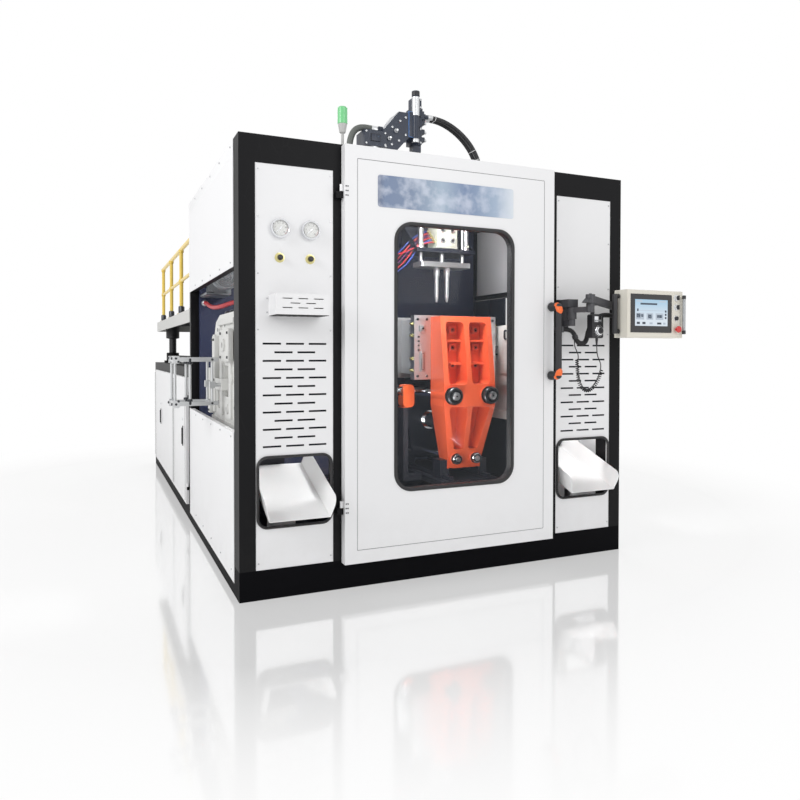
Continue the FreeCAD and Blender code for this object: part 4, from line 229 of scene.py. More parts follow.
# %% [markdown]
# ## Finishes
# One function joins the four groups in front of a Principled shader. What is the same all over
# the surface, such as how metallic it is, is typed on the shader itself.

# %% Tools for finishes


def use(tree, group, **values):
    """The outputs of a group placed in a material."""
    return node(tree, "ShaderNodeGroup", {"node_tree": group}, **values).outputs


def new_material(name):
    """A material with its node tree and its shader."""
    material = bpy.data.materials.new(name)
    material.use_nodes = True
    return material, material.node_tree, material.node_tree.nodes["Principled BSDF"]


def grained(tree, scale, stretch, strength, depth):
    """The shading direction over fine grain."""
    height = use(tree, grain, Scale=scale, Stretch=stretch)["Height"]
    return node(tree, "ShaderNodeBump", Strength=strength, Distance=depth,
                Height=height).outputs["Normal"]


def finish(name, colour, rough, metal=0.0, spread=0.1, cloud_scale=3.0, grain_scale=700.0,
           stretch=(1, 1, 1), bump=0.08, depth=0.0004, dusty=0.0, dust_top=0.6, scuffed=0.0,
           worn=(0.5, 0.5, 0.5), coat=0.0, specular=0.5):
    """A material of one paint, metal, plastic or rubber, from the shared groups."""
    material, tree, shader = new_material(name)
    look = use(tree, cloud, Color=(*colour, 1), Scale=cloud_scale, Spread=spread, Roughness=rough)
    if scuffed:
        look = use(tree, scuffs, Color=look["Color"], Roughness=look["Roughness"],
                   Worn_Color=(*worn, 1), Amount=scuffed)
    if dusty:
        look = use(tree, dust, Color=look["Color"], Roughness=look["Roughness"], Amount=dusty,
                   Top=dust_top)
    fill(shader, Metallic=metal, Coat_Weight=coat, Coat_Roughness=0.08, Specular_IOR_Level=specular,
         Base_Color=look["Color"], Roughness=look["Roughness"],
         Normal=grained(tree, grain_scale, stretch, bump, depth))
    return material


def clear_finish(name, colour, scale, spread, bend, grazing, alphas):
    """Clear glass, which looks more solid towards its edges."""
    material, tree, shader = new_material(name)
    look = use(tree, cloud, Color=(*colour, 1), Scale=scale, Spread=spread, Roughness=0.03)
    edge = node(tree, "ShaderNodeFresnel", IOR=bend).outputs[0]
    fill(shader, Base_Color=look["Color"], Roughness=look["Roughness"],
         Alpha=mapped(tree, edge, 0.0, grazing, *alphas))
    return material


def glow_finish(name, low_colour, high_colour, bottom, top, strength):
    """A display colour that runs between two heights; it glows a little and is smooth."""
    material, tree, shader = new_material(name)
    grid = use(tree, grain, Scale=2600.0, Stretch=(1, 1, 1))["Mask"]
    share = maths(tree, "ADD", mapped(tree, axes(tree)["Z"], bottom, top),
                  maths(tree, "MULTIPLY", grid, 0.06))
    fill(shader, Emission_Color=blended(tree, share, (*low_colour, 1), (*high_colour, 1)),
         Base_Color=(0.02, 0.02, 0.02, 1), Roughness=0.12, Emission_Strength=strength)
    return material


def split_finish(name, first, second, border, axis="Z", metals=None, sharp=0.0008):
    """One finish below a border and a second above it; each is colour, roughness, scale, spread."""
    material, tree, shader = new_material(name)
    above = mapped(tree, axes(tree)[axis], border - sharp, border + sharp)
    below, over = (use(tree, cloud, Color=(*colour, 1), Scale=scale, Spread=spread, Roughness=rough)
                   for colour, rough, scale, spread in (first, second))
    rough = node(tree, "ShaderNodeMix", i0=above, i2=below["Roughness"], i3=over["Roughness"])
    fill(shader, Base_Color=blended(tree, above, below["Color"], over["Color"]),
         Roughness=rough.outputs[0], Normal=grained(tree, 300.0, (1, 1, 1), 0.06, 0.0004))
    if metals:
        fill(shader, Metallic=mapped(tree, above, 0.0, 1.0, *metals))
    return material


def overpaint(material, mask, colour):
    """Another colour where the mask is one."""
    shader = material.node_tree.nodes["Principled BSDF"]
    under = shader.inputs["Base Color"].links[0].from_socket
    fill(shader, Base_Color=blended(material.node_tree, mask, under, (*colour, 1)))


# %% [markdown]
# Each finish below is one paint, metal or plastic. The numbers are its colour and roughness, how
# cloudy it is, how its grain looks, and how dusty and scuffed it is.

# %% Finishes
WHITE = finish("white_powder_coat", (0.83, 0.83, 0.84), 0.34, spread=0.03, cloud_scale=1.2,
               grain_scale=900, bump=0.05, dusty=0.10, dust_top=0.5)
BLACK = finish("black_frame_paint", (0.006, 0.006, 0.007), 0.48, spread=0.25, cloud_scale=2.0,
               grain_scale=800, bump=0.10, dusty=0.02, scuffed=0.12, worn=(0.05, 0.05, 0.055),
               specular=0.13)
PLINTH = finish("black_plinth_paint", (0.003, 0.003, 0.004), 0.6, spread=0.3, grain_scale=500,
                bump=0.15, scuffed=0.10, worn=(0.015, 0.015, 0.015), specular=0.05)
ORANGE = finish("orange_casting_enamel", (0.80, 0.115, 0.040), 0.33, spread=0.14, cloud_scale=5.0,
                grain_scale=260, bump=0.22, depth=0.0007, scuffed=0.25, worn=(0.95, 0.30, 0.10),
                coat=0.25)
STEEL = finish("ground_steel", (0.52, 0.53, 0.54), 0.32, metal=1.0, spread=0.16, cloud_scale=8.0,
               grain_scale=60, stretch=(1, 1, 18), bump=0.10, scuffed=0.3, worn=(0.34, 0.34, 0.34))
CHROME = finish("polished_chrome", (0.78, 0.79, 0.81), 0.10, metal=1.0, spread=0.05, cloud_scale=20,
                grain_scale=900, bump=0.02)
ALUMINIUM = finish("milled_aluminium", (0.66, 0.67, 0.68), 0.36, metal=1.0, cloud_scale=9.0,
                   grain_scale=40, stretch=(1, 14, 14), bump=0.12, scuffed=0.25,
                   worn=(0.45, 0.45, 0.45))
YELLOW = finish("rail_yellow_enamel", (0.86, 0.62, 0.11), 0.36, spread=0.12, cloud_scale=6.0,
                grain_scale=500, scuffed=0.35, worn=(0.45, 0.30, 0.08), coat=0.2)
NAVY = finish("navy_paint", (0.022, 0.030, 0.075), 0.42, spread=0.25, cloud_scale=2.5,
              grain_scale=500, bump=0.12, dusty=0.25, dust_top=1.4, scuffed=0.25,
              worn=(0.10, 0.11, 0.15))
CREAM = finish("cream_powder_coat", (0.74, 0.71, 0.63), 0.40, spread=0.04, cloud_scale=6.0,
               grain_scale=1100, bump=0.10)
PLASTIC = finish("black_plastic", (0.016, 0.016, 0.019), 0.42, spread=0.15, cloud_scale=20,
                 grain_scale=1500, bump=0.15)
RUBBER = finish("black_rubber", (0.010, 0.010, 0.012), 0.5, spread=0.3, cloud_scale=14,
                grain_scale=900, bump=0.15, dusty=0.04, dust_top=3.0)
HOSE_GREY = finish("grey_hose_cover", (0.13, 0.14, 0.13), 0.55, spread=0.2, cloud_scale=18,
                   bump=0.25)
RED = finish("red_plastic", (0.62, 0.03, 0.03), 0.28, spread=0.08, cloud_scale=30, bump=0.03,
             coat=0.3)
ORANGE_CAP = finish("orange_grip_plastic", (0.90, 0.16, 0.03), 0.35, spread=0.08, cloud_scale=20,
                    grain_scale=1200, bump=0.06)
BRASS = finish("brass", (0.62, 0.56, 0.27), 0.28, metal=1.0, spread=0.15, cloud_scale=30, bump=0.05)
DARK_STEEL = finish("blackened_steel", (0.075, 0.078, 0.085), 0.34, metal=0.9, spread=0.3,
                    cloud_scale=14, grain_scale=200, bump=0.12, scuffed=0.4, worn=(0.30, 0.30, 0.30))
ARM_GREY = finish("dark_grey_arm_paint", (0.055, 0.055, 0.062), 0.42, spread=0.2, cloud_scale=10,
                  grain_scale=900, bump=0.10, scuffed=0.25, worn=(0.15, 0.15, 0.15))
BLUE = finish("machine_blue_enamel", (0.035, 0.065, 0.16), 0.36, spread=0.2, cloud_scale=6,
              grain_scale=400, bump=0.12, scuffed=0.3, worn=(0.18, 0.20, 0.24), coat=0.2)
VALVE = finish("valve_grey_blue_paint", (0.022, 0.030, 0.052), 0.40, spread=0.25, cloud_scale=9,
               grain_scale=350, bump=0.18, depth=0.0006, scuffed=0.5, worn=(0.28, 0.30, 0.33))
DECK = finish("platform_grey_paint", (0.60, 0.60, 0.58), 0.48, spread=0.08, grain_scale=300,
              bump=0.15, scuffed=0.3, worn=(0.42, 0.42, 0.41))
SHEET = finish("rolled_stainless", (0.62, 0.63, 0.64), 0.26, metal=1.0, cloud_scale=5,
               grain_scale=30, stretch=(1, 1, 22), scuffed=0.3, worn=(0.4, 0.4, 0.4))
CHUTE = finish("white_chute_coat", (0.93, 0.93, 0.93), 0.30, spread=0.03, cloud_scale=6,
               grain_scale=800, bump=0.06, scuffed=0.15, worn=(0.55, 0.55, 0.55))
DARK_PAINT = finish("dark_machine_paint", (0.012, 0.014, 0.024), 0.46, spread=0.3, cloud_scale=5,
                    grain_scale=400, bump=0.12, scuffed=0.2, worn=(0.05, 0.05, 0.06), specular=0.3)
BEZEL = finish("black_glass_bezel", (0.010, 0.010, 0.012), 0.16, cloud_scale=10, bump=0.01, coat=0.5)
GRIP_GREY = finish("grey_grip_aluminium", (0.34, 0.35, 0.36), 0.4, metal=0.8)
DIAL = finish("white_dial", (0.88, 0.88, 0.86), 0.45, spread=0.03, bump=0.01)
INK = finish("dial_ink", (0.02, 0.02, 0.02), 0.5, spread=0.05, bump=0.01)
DIAL_RED = finish("dial_red", (0.65, 0.04, 0.03), 0.5, spread=0.05, bump=0.01)
GLASS = clear_finish("window_glass", (0.06, 0.07, 0.08), 4.0, 0.3, 1.5, 0.6, (0.07, 0.75))
LENS = clear_finish("dial_glass", (0.9, 0.92, 0.93), 30.0, 0.1, 1.45, 0.7, (0.03, 0.6))
print("finishes", len(bpy.data.materials))

# %% [markdown]
# ## Light, floor and backdrop
# The studio is plain: a white world and three soft lamps, a large one high on the left and
# weaker ones in front and behind. Two small lamps stand for the work light inside the bay. The
# camera, mirrors and glass see the world as white, while the light that it gives to the object
# is a little lower, so white paint keeps its shading. The floor is pale and slightly glossy, so
# it keeps the machine's shadow and a soft reflection of it.

# %% World and lamps
WORLD_LIGHT, WORLD_SEEN = 0.53, 1.0
scene = bpy.context.scene
scene.view_settings.view_transform = "Standard"
world = bpy.data.worlds.new("white_studio")
scene.world = world
world.use_nodes = True
tree = world.node_tree
tree.nodes.clear()
ray = tree.nodes.new("ShaderNodeLightPath").outputs
seen = maths(tree, "MAXIMUM", ray["Is Camera Ray"], ray["Is Glossy Ray"])
seen = maths(tree, "MAXIMUM", seen, ray["Is Transmission Ray"])
power = mapped(tree, seen, 0.0, 1.0, WORLD_LIGHT, WORLD_SEEN)
sky = node(tree, "ShaderNodeBackground", Color=(1, 1, 1, 1), Strength=power)
node(tree, "ShaderNodeOutputWorld", Surface=sky.outputs[0])


def soft_lamp(name, place, target, size, watts):
    """A square area lamp that looks at a point; lamps don't show in the picture."""
    data = bpy.data.lights.new(name, "AREA")
    data.size, data.energy = size, watts
    lamp = bpy.data.objects.new(name, data)
    scene.collection.objects.link(lamp)
    lamp.location = place
    lamp.rotation_euler = (target - place).to_track_quat("-Z", "Y").to_euler()
    lamp.visible_camera = False


soft_lamp("lamp_left", Vector((-7.5, -4.0, 5.0)), at(600, 1600, 1200), 3.5, 260)
soft_lamp("lamp_front", Vector((1.5, -8.0, 3.4)), at(1400, 0, 1200), 3.0, 76)
soft_lamp("lamp_behind", Vector((3.0, 7.0, 6.0)), at(1200, 3500, 1500), 4.0, 180)
soft_lamp("work_lamp_inside", at(1240, 260, 2280), at(1560, 640, 900), 0.4, 36)
soft_lamp("work_lamp_low", at(1180, 150, 640), at(1668, 640, 1250), 0.4, 6)

# %% Floor
REACH, GLOSS_ENDS, WHITE_STARTS, CAMERA_WHITE = 60, 2.4, 4.8, 0.42
floor_mesh = bpy.data.meshes.new("studio_floor")
corners = [(-REACH, -REACH, 0), (REACH, -REACH, 0), (REACH, REACH, 0), (-REACH, REACH, 0)]
floor_mesh.from_pydata(corners, [], [(0, 1, 2, 3)])
studio_floor = bpy.data.objects.new("studio_floor", floor_mesh)
scene.collection.objects.link(studio_floor)
studio_floor.location.z = -0.0005
floor_paint = bpy.data.materials.new("pale_floor")
floor_paint.use_nodes = True
tree = floor_paint.node_tree
tree.nodes.clear()
away = node(tree, "ShaderNodeVectorMath", {"operation": "LENGTH"}, i0=own_place(tree))
fade = mapped(tree, away.outputs["Value"], GLOSS_ENDS, WHITE_STARTS, interpolation_type="SMOOTHSTEP")
ray = tree.nodes.new("ShaderNodeLightPath").outputs
fade = maths(tree, "MAXIMUM", fade, maths(tree, "MULTIPLY", ray["Is Camera Ray"], CAMERA_WHITE))
sheen = mapped(tree, noise(tree, 1.6, 3.0), 0.0, 1.0, 0.04, 0.11)
paint = node(tree, "ShaderNodeBsdfPrincipled", Base_Color=(0.97, 0.97, 0.97, 1), Metallic=0.45,
             Roughness=sheen)
glow = node(tree, "ShaderNodeEmission", Color=(1, 1, 1, 1), Strength=1.0)
mixed = node(tree, "ShaderNodeMixShader", i0=fade, i1=paint.outputs[0], i2=glow.outputs[0])
node(tree, "ShaderNodeOutputMaterial", Surface=mixed.outputs[0])
floor_mesh.materials.append(floor_paint)
print("floor", 2 * REACH, "m")

# %% [markdown]
# ## Tools for meshes
# Every added piece is built in mesh code. A few small tools cover most of a machine: blocks
# with rounded edges, shapes turned on a lathe, plates cut from an outline, bars along a line,
# and screws. They all work in millimetres from the corner, and add to the piece that lies on the
# bench. One last call makes it an object and clears the bench.

# %% Mesh tools
FRONT, BACK, LEFT, RIGHT, UP = (0, -1, 0), (0, 1, 0), (-1, 0, 0), (1, 0, 0), (0, 0, 1)
bench = bmesh.new()


def finished(name, materials, body, angle=35):
    """Turns what lies on the bench into an object that rides on a body."""
    bmesh.ops.recalc_face_normals(bench, faces=bench.faces)
    mesh = bpy.data.meshes.new(name)
    bench.to_mesh(mesh)
    bench.clear()
    for polygon in mesh.polygons:
        polygon.use_smooth = True
    mesh.set_sharp_from_angle(angle=math.radians(angle))
    for material in materials if isinstance(materials, list) else [materials]:
        mesh.materials.append(material)
    piece = bpy.data.objects.new(name, mesh)
    scene.collection.objects.link(piece)
    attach(piece, body)
    return piece


def block(low, high, edge=1.5, index=0, segments=2):
    """A block between two corners, with rounded edges."""
    low, high = at(*low), at(*high)
    corners = bmesh.ops.create_cube(bench, size=1.0)["verts"]
    for corner in corners:
        corner.co = [a + (share + 0.5) * (b - a) for a, b, share in zip(low, high, corner.co)]
    faces = {face for corner in corners for face in corner.link_faces}
    if edge:
        edges = list({side for face in faces for side in face.edges})
        made = bmesh.ops.bevel(bench, geom=edges, offset=edge / 1000, segments=segments,
                               affect="EDGES", profile=0.6)
        faces = {face for face in faces if face.is_valid} | set(made["faces"])
    for face in faces:
        face.material_index = index


def grid(xs, ys, zs):
    """Every place with one of these x, one of these y and one of these z."""
    xs, ys, zs = ((some,) if isinstance(some, (int, float)) else some for some in (xs, ys, zs))
    return [(x, y, z) for x in xs for y in ys for z in zs]


def round_about(count, first=0.0):
    """The angles of evenly spaced places round a circle."""
    return [2 * math.pi * (step + first) / count for step in range(count)]


def frame_of(direction):
    """Two directions square to a third."""
    across = Vector(UP) if abs(direction.z) < 0.9 else Vector(RIGHT)
    side = direction.cross(across).normalized()
    return side, side.cross(direction).normalized()


def circle(centre, side, up, radius, steps):
    """A circle of new corners; its centre is in metres and its radius in millimetres."""
    side, up = side * (radius / 1000), up * (radius / 1000)
    return [bench.verts.new(centre + side * math.cos(angle) + up * math.sin(angle))
            for angle in round_about(steps)]


def bridged(rings, index=0):
    """Faces from each ring of corners to the next; a ring may be a single corner."""
    for first, second in zip(rings, rings[1:]):
        steps = max(len(first), len(second))
        for step in range(steps):
            after = (step + 1) % steps
            near = [first[step], first[after]] if len(first) > 1 else first
            far = [second[after], second[step]] if len(second) > 1 else second
            if len(near + far) > 2:
                bench.faces.new(near + far).material_index = index


def turned(profile, places, direction, steps=32, index=0):
    """A shape turned round an axis, at one place or at each in a list; its profile is (radius,
    distance along) from there."""
    direction = Vector(direction).normalized()
    side, up = frame_of(direction)
    for base in places if isinstance(places, list) else [places]:
        rings = []
        for radius, height in profile:
            centre = at(*base) + direction * (height / 1000)
            rings.append(circle(centre, side, up, radius, steps) if radius
                         else [bench.verts.new(centre)])
        bridged(rings, index)


def collar(inner, outer, start, end, slope=2):
    """The profile of a ring with sloping edges."""
    return [(inner, start), (outer, start + slope), (outer, end - slope), (inner, end)]


def disc(radius, top, foot=0):
    """The profile of a flat disc."""
    return [(0, top), (radius, top), (radius, foot)]


def knob(small, large, top, shoulder, foot=0):
    """The profile of a disc whose edge slopes off."""
    return [(0, top), (small, top), (large, shoulder), (large, foot)]


def bar(points, radius, sides=12, index=0):
    """A round bar along points in metres; its radius is one number, or one for each point."""
    rings, side = [], None
    for step, point in enumerate(points):
        before, after = points[max(step - 1, 0)], points[min(step + 1, len(points) - 1)]
        direction = (after - before).normalized()
        side = side or frame_of(direction)[0]
        side = (side - direction * side.dot(direction)).normalized()
        size = radius[step] if isinstance(radius, list) else radius
        rings.append(circle(point, side, direction.cross(side), size, sides))
    bridged(rings, index)
    for cap in (rings[0], rings[-1]):
        bench.faces.new(cap).material_index = index


def rounded_outline(wide, tall, corner, steps=8):
    """A rectangle with round corners about its middle."""
    points = []
    for quarter, (sx, sy) in enumerate(((1, 1), (-1, 1), (-1, -1), (1, -1))):
        cx, cy = sx * (wide / 2 - corner), sy * (tall / 2 - corner)
        for step in range(steps + 1):
            angle = math.pi / 2 * (quarter + step / steps)
            points.append((cx + corner * math.cos(angle), cy + corner * math.sin(angle)))
    return points


def upright(outline, origin, lift):
    """An outline as new corners that stand upright, lifted off their face towards the front."""
    return [bench.verts.new(at(origin[0] + x, origin[1] - lift, origin[2] + z)) for x, z in outline]


def plate(outline, origin, thick, edge):
    """An upright plate with that outline, whose front edge slopes."""
    shares = [1 - edge / math.hypot(x, z) for x, z in outline]
    smaller = [(x * share, z * share) for (x, z), share in zip(outline, shares)]
    rings = [upright(outline, origin, 0), upright(outline, origin, thick - edge),
             upright(smaller, origin, thick)]
    bridged(rings)
    bench.faces.new(rings[0])
    bench.faces.new(rings[-1])


def trim_ring(outer, inner, origin, thick, steps):
    """A flat upright frame between two rounded outlines, with a raised middle."""
    outer, inner = rounded_outline(*outer, steps), rounded_outline(*inner, steps)
    middle = [((a + c) / 2, (b + d) / 2) for (a, b), (c, d) in zip(outer, inner)]
    rings = [upright(outline, origin, thick * share) for outline, share in
             ((outer, 0), (outer, 0.6), (middle, 1), (inner, 0.6), (inner, 0))]
    bridged(rings + rings[:1])


def screw(places, direction, radius=5.0, index=0):
    """Socket head screws with their hexagonal recess, standing on a face."""
    tall = radius * 0.9
    head = [(0, -0.5), (radius, -0.5), (radius, tall * 0.75), (radius * 0.85, tall),
            (radius * 0.55, tall)]
    recess = [(radius * 0.55, tall), (radius * 0.5, tall * 0.35), (0, tall * 0.35)]
    turned(head, places, direction, 14, index)
    turned(recess, places, direction, 6, index)


print("tools ready")

# %% [markdown]
# ## Hoses and wires
# A hose hangs in one smooth curve, so each route is a short list of points under a smooth
# spline. The points are control points: the spline cuts inside the corners of its route, as a
# stiff hose does. The lines under the ribs, curls and ties are read from that same spline.

# %% Cord tools


def from_point(origin, *offsets):
    """Places given as offsets from one point."""
    return [tuple(a + b for a, b in zip(origin, offset)) for offset in offsets]


def route_spline(name, points, radius, sides=4, material=None):
    """A curve of one smooth open spline through the space of its control points."""
    curve = bpy.data.curves.new(name, "CURVE")
    curve.dimensions = "3D"
    spline = curve.splines.new("NURBS")
    spline.points.add(len(points) - 1)
    for control, point in zip(spline.points, points):
        control.co = (*at(*point), 1)
    spline.order_u = 3
    spline.use_endpoint_u = True
    spline.resolution_u = 8
    curve.bevel_depth = radius / 1000
    curve.bevel_resolution = sides
    curve.use_fill_caps = True
    if material:
        curve.materials.append(material)
    piece = bpy.data.objects.new(name, curve)
    scene.collection.objects.link(piece)
    return piece


def line_of(points):
    """The smooth line of a route, as points in metres."""
    guide = route_spline("guide", points, 0)
    mesh = bpy.data.meshes.new_from_object(guide)
    line = [vert.co.copy() for vert in mesh.vertices]
    curve = guide.data
    bpy.data.objects.remove(guide)
    bpy.data.curves.remove(curve)
    bpy.data.meshes.remove(mesh)
    return line


def along(line, distance):
    """The place and direction at a distance in metres along a line."""
    for first, second in zip(line, line[1:]):
        step = (second - first).length
        if distance <= step:
            return first.lerp(second, distance / step if step else 0), (second - first).normalized()
        distance -= step
    return line[-1].copy(), (line[-1] - line[-2]).normalized()


def length_of(line):
    """The length of a line in metres."""
    return sum((b - a).length for a, b in zip(line, line[1:]))


def in_mm(point):
    """Back from metres to millimetres from the corner."""
    return (point.x * 1000 + WIDE / 2, point.y * 1000 + LONG / 2, point.z * 1000)


# %% [markdown]
# The grey return hose rises from the fitting behind the valve and drops through a sleeve in
# the roof. The two black pressure hoses leave the valve side by side, arch over the roof and
# drop through the second sleeve. Their covers carry white cable ties.

# %% Roof hoses
HEAD_X, PARTING_Y, CYLINDER_TOP, ROOF = 1115, 990, 2704, 2400
RETURN_Z, PORT_Z = CYLINDER_TOP + 136, CYLINDER_TOP + 268
grey_route = from_point((HEAD_X, PARTING_Y, RETURN_Z), (38, 0, 0), (-50, 0, 12), (-125, 0, -12),
                        (-162, 0, -92), (-166, 0, -215), (-165, 0, -360))
grey_hose = route_spline("return_hose", grey_route, 22, 6, HOSE_GREY)
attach(grey_hose, "extruder")
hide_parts("hose_grey")

PORT_X, SLEEVE_X, SLEEVE_Y, PAIR_HALF = HEAD_X + 422, 1962, 930, 27
pair_lines = []
for side, word in ((-1, "front"), (1, "rear")):
    beside = PAIR_HALF * side
    pair_route = from_point((PORT_X, PARTING_Y + beside, PORT_Z), (0, 0, 0), (84, 0, 2),
                            (195, -10, -38), (295, -24, -112), (366, -40, -208), (408, -52, -322))
    pair_route += from_point((SLEEVE_X, SLEEVE_Y + beside, ROOF), (0, 0, PORT_Z - ROOF - 440),
                             (0, -0.5, -20))
    hose = route_spline(f"pressure_hose_{word}", pair_route, 15, 5, RUBBER)
    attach(hose, "extruder")
    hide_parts("hose_pair")
    pair_lines.append(line_of(pair_route))
print("hoses", [round(length_of(line), 3) for line in (*pair_lines, line_of(grey_route))])

# %% Ties round the pair
TIE_WHITE = finish("white_nylon_tie", (0.80, 0.80, 0.80), 0.4, grain_scale=900, bump=0.04)
TIE_RADIUS = 0.0158
for distance in (0.06, 0.44, 0.51):
    (first, heading), (second, _) = along(pair_lines[0], distance), along(pair_lines[1], distance)
    middle, across = (first + second) / 2, (second - first).normalized()
    up = heading.cross(across).normalized()
    gap = (second - first).length / 2
    loop = []
    for angle in round_about(32) + [2 * math.pi]:
        shift = 0 if abs(math.cos(angle)) < 1e-6 else math.copysign(gap, math.cos(angle))
        loop.append(middle + across * (shift + TIE_RADIUS * math.cos(angle))
                    + up * (TIE_RADIUS * math.sin(angle)))
    bar(loop, 2.2, 6)
    lock = in_mm(middle + up * (TIE_RADIUS + 0.003))
    block(*from_point(lock, (-5, -4, -3), (5, 4, 3)), 1)
finished("hose_ties", TIE_WHITE, "extruder")

# %% [markdown]
# ## The screen's conduit and the pendant's wire
# The conduit is a ribbed plastic hose. Its ribs are rings of alternating radius along the
# smooth line. The pendant's wire starts at the strain relief, hangs in a curl like an old
# telephone cord, and ends in a small clip on the conduit: it is one wire, so it is one spline.

# %% Ribbed conduit
ARM = (1996, 0, 1530)
RIB_PITCH, GROOVE, RIB = 0.0075, 12.6, 15.0
conduit_route = from_point(
    ARM, (-35, -62, -104), (2, -76, -104), (24, -94, -128), (27, -105, -166), (52, -108, -190),
    (86, -108, -191), (112, -102, -170), (122, -100, -124), (146, -98, -80), (178, -97, -42),
    (222, -96, -16), (280, -97, -10), (340, -104, -18), (393, -110, -23))
conduit_line = line_of(conduit_route)
conduit_long = length_of(conduit_line)
ribs = int(conduit_long / RIB_PITCH)
line, radii = [], []
for rib in range(ribs):
    for share, radius in ((0.0, GROOVE), (0.28, GROOVE), (0.5, RIB), (0.78, RIB)):
        line.append(along(conduit_line, conduit_long * (rib + share) / ribs)[0])
        radii.append(radius)
bar(line + conduit_line[-1:], radii + [GROOVE], 16)
conduit = finished("ribbed_conduit", RUBBER, "arm_outer", 25)
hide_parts("conduit")
print("conduit", round(conduit_long, 3), "m,", ribs, "ribs")

# %% Pendant wire
PENDANT, RELIEF = (2140, -144, 1372), (2152, -144, 1372)
CURLS, PER_CURL, COIL, COIL_INSET = 32, 12, 0.009, 0.006
curl_line = line_of(from_point(PENDANT, (54, 0, -186), (32, 0, -250), (-16, 0, -310), (-70, 0, -326),
                               (-116, 0, -288), (-133, 0, -216), (-137, 0, -122)))
curl_long = length_of(curl_line) - 2 * COIL_INSET
wire_route = from_point(PENDANT, (12, 0, -30), (12, -0.5, -72), (20, 0, -116), (42, -4, -154))
for step in range(PER_CURL * CURLS + 1):
    spot, heading = along(curl_line, COIL_INSET + curl_long * step / (PER_CURL * CURLS))
    angle = 2 * math.pi * step / PER_CURL
    side = Vector(BACK).cross(heading).normalized()
    spot += side * (COIL * math.cos(angle)) + Vector(BACK) * (COIL * math.sin(angle))
    wire_route.append(in_mm(spot))
wire_route += from_point(PENDANT, (-120, 8, -98), (-138, 16, -62), (-140, 25, -22))
wire_route += from_point(ARM, (18, -110, -138))
wire = route_spline("pendant_wire", wire_route, 3.0, 2, RUBBER)
wire.data.splines[0].resolution_u = 2
turned([(3.2, -44), (5.2, -42), (6.4, -22), (8.8, -2), (9.4, 0), (0, 0)], RELIEF, UP, 20)
for ridge in range(5):
    wider, higher = ridge * 0.7, ridge * 7
    turned([(5.6 + wider, higher - 38), (6.4 + wider, higher - 36.5), (5.8 + wider, higher - 35)],
           RELIEF, UP, 20)
relief = finished("pendant_wire_relief", PLASTIC, "arm_outer")
clip_spot, clip_heading = along(conduit_line, 0.098)
turned(collar(15.4, 17.6, -11, 11, 1), in_mm(clip_spot), clip_heading, 24)
turned([(0, -12), (6, -12), (6.5, 0), (6, 11), (0, 11)], *from_point(ARM, (17.5, -112, -136)),
       clip_heading, 16)
clip = finished("conduit_clip", PLASTIC, "arm_outer")
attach(wire, "arm_outer")
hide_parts("curly_cord", "pendant_lead")
print("wire points", len(wire_route))

# %% [markdown]
# ## Better finishes on the CAD nodes
# Most of the machine's solids already have the right shape, so they only get a better
# finish. A few nodes are made of two finishes in reality, such as tie bars with blackened nuts
# or a lamp with a green lens. There a mask from the place on the node tells the two apart.
# Dark paint hides the saddle and the pedestals, as they lie in shade behind the door.

# %% Two finishes on one node
STATION_X, SHOE_HALF, SHOE_LOW, SHOE_HIGH = 1668, 0.1288, 0.4885, 0.5485
LENS_FOOT, SADDLE_TOP, PEDESTAL_TOP = 2.526, 0.897, 0.803
nut_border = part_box("tie_bars")[0].y + 0.068
TIES = split_finish("tie_bars_and_nuts", ((0.07, 0.072, 0.078), 0.32, 20, 0.3),
                    ((0.72, 0.73, 0.75), 0.14, 12, 0.1), nut_border, "Y", (0.85, 1.0))
LAMP = split_finish("lamp_base_and_lens", ((0.50, 0.50, 0.49), 0.35, 12, 0.1),
                    ((0.20, 0.62, 0.27), 0.22, 25, 0.15), LENS_FOOT)
SADDLE = split_finish("saddle_and_bearing", ((0.012, 0.013, 0.020), 0.45, 6, 0.3),
                      ((0.80, 0.125, 0.028), 0.36, 6, 0.10), SADDLE_TOP)
PRESS = split_finish("pedestal_and_press", ((0.014, 0.015, 0.024), 0.5, 6, 0.3),
                     ((0.70, 0.70, 0.68), 0.42, 7, 0.12), PEDESTAL_TOP)
# painted shade: the front platen is painted dark below 488.5 mm, and below 548.5 mm where its shoe is
# wider than its foot, as this lies in shade behind the door
tree = ORANGE.node_tree
place = axes(tree)
aside = maths(tree, "ABSOLUTE", maths(tree, "SUBTRACT", place["X"], at(STATION_X, 0, 0).x))
beside = maths(tree, "MULTIPLY", maths(tree, "GREATER_THAN", aside, SHOE_HALF),
               maths(tree, "LESS_THAN", place["Z"], SHOE_HIGH))
painted_shade_at_foot = maths(tree, "MAXIMUM", beside, maths(tree, "LESS_THAN", place["Z"], SHOE_LOW))
overpaint(ORANGE, painted_shade_at_foot, (0.012, 0.013, 0.020))
# painted shade: the platform is painted dark below its deck, where it is seen only from inside
tree = DECK.node_tree
place = axes(tree)
tests = [maths(tree, way, place[axis], border) for axis, way, border in (
    ("X", "GREATER_THAN", -1.218), ("X", "LESS_THAN", 1.218), ("Y", "GREATER_THAN", -0.556),
    ("Y", "LESS_THAN", 2.198), ("Z", "LESS_THAN", 1.6045))]
shade = tests[0]
for test in tests[1:]:
    shade = maths(tree, "MULTIPLY", shade, test)
overpaint(DECK, shade, (0.012, 0.012, 0.014))
print("split paints", SADDLE.name, PRESS.name, DECK.name)

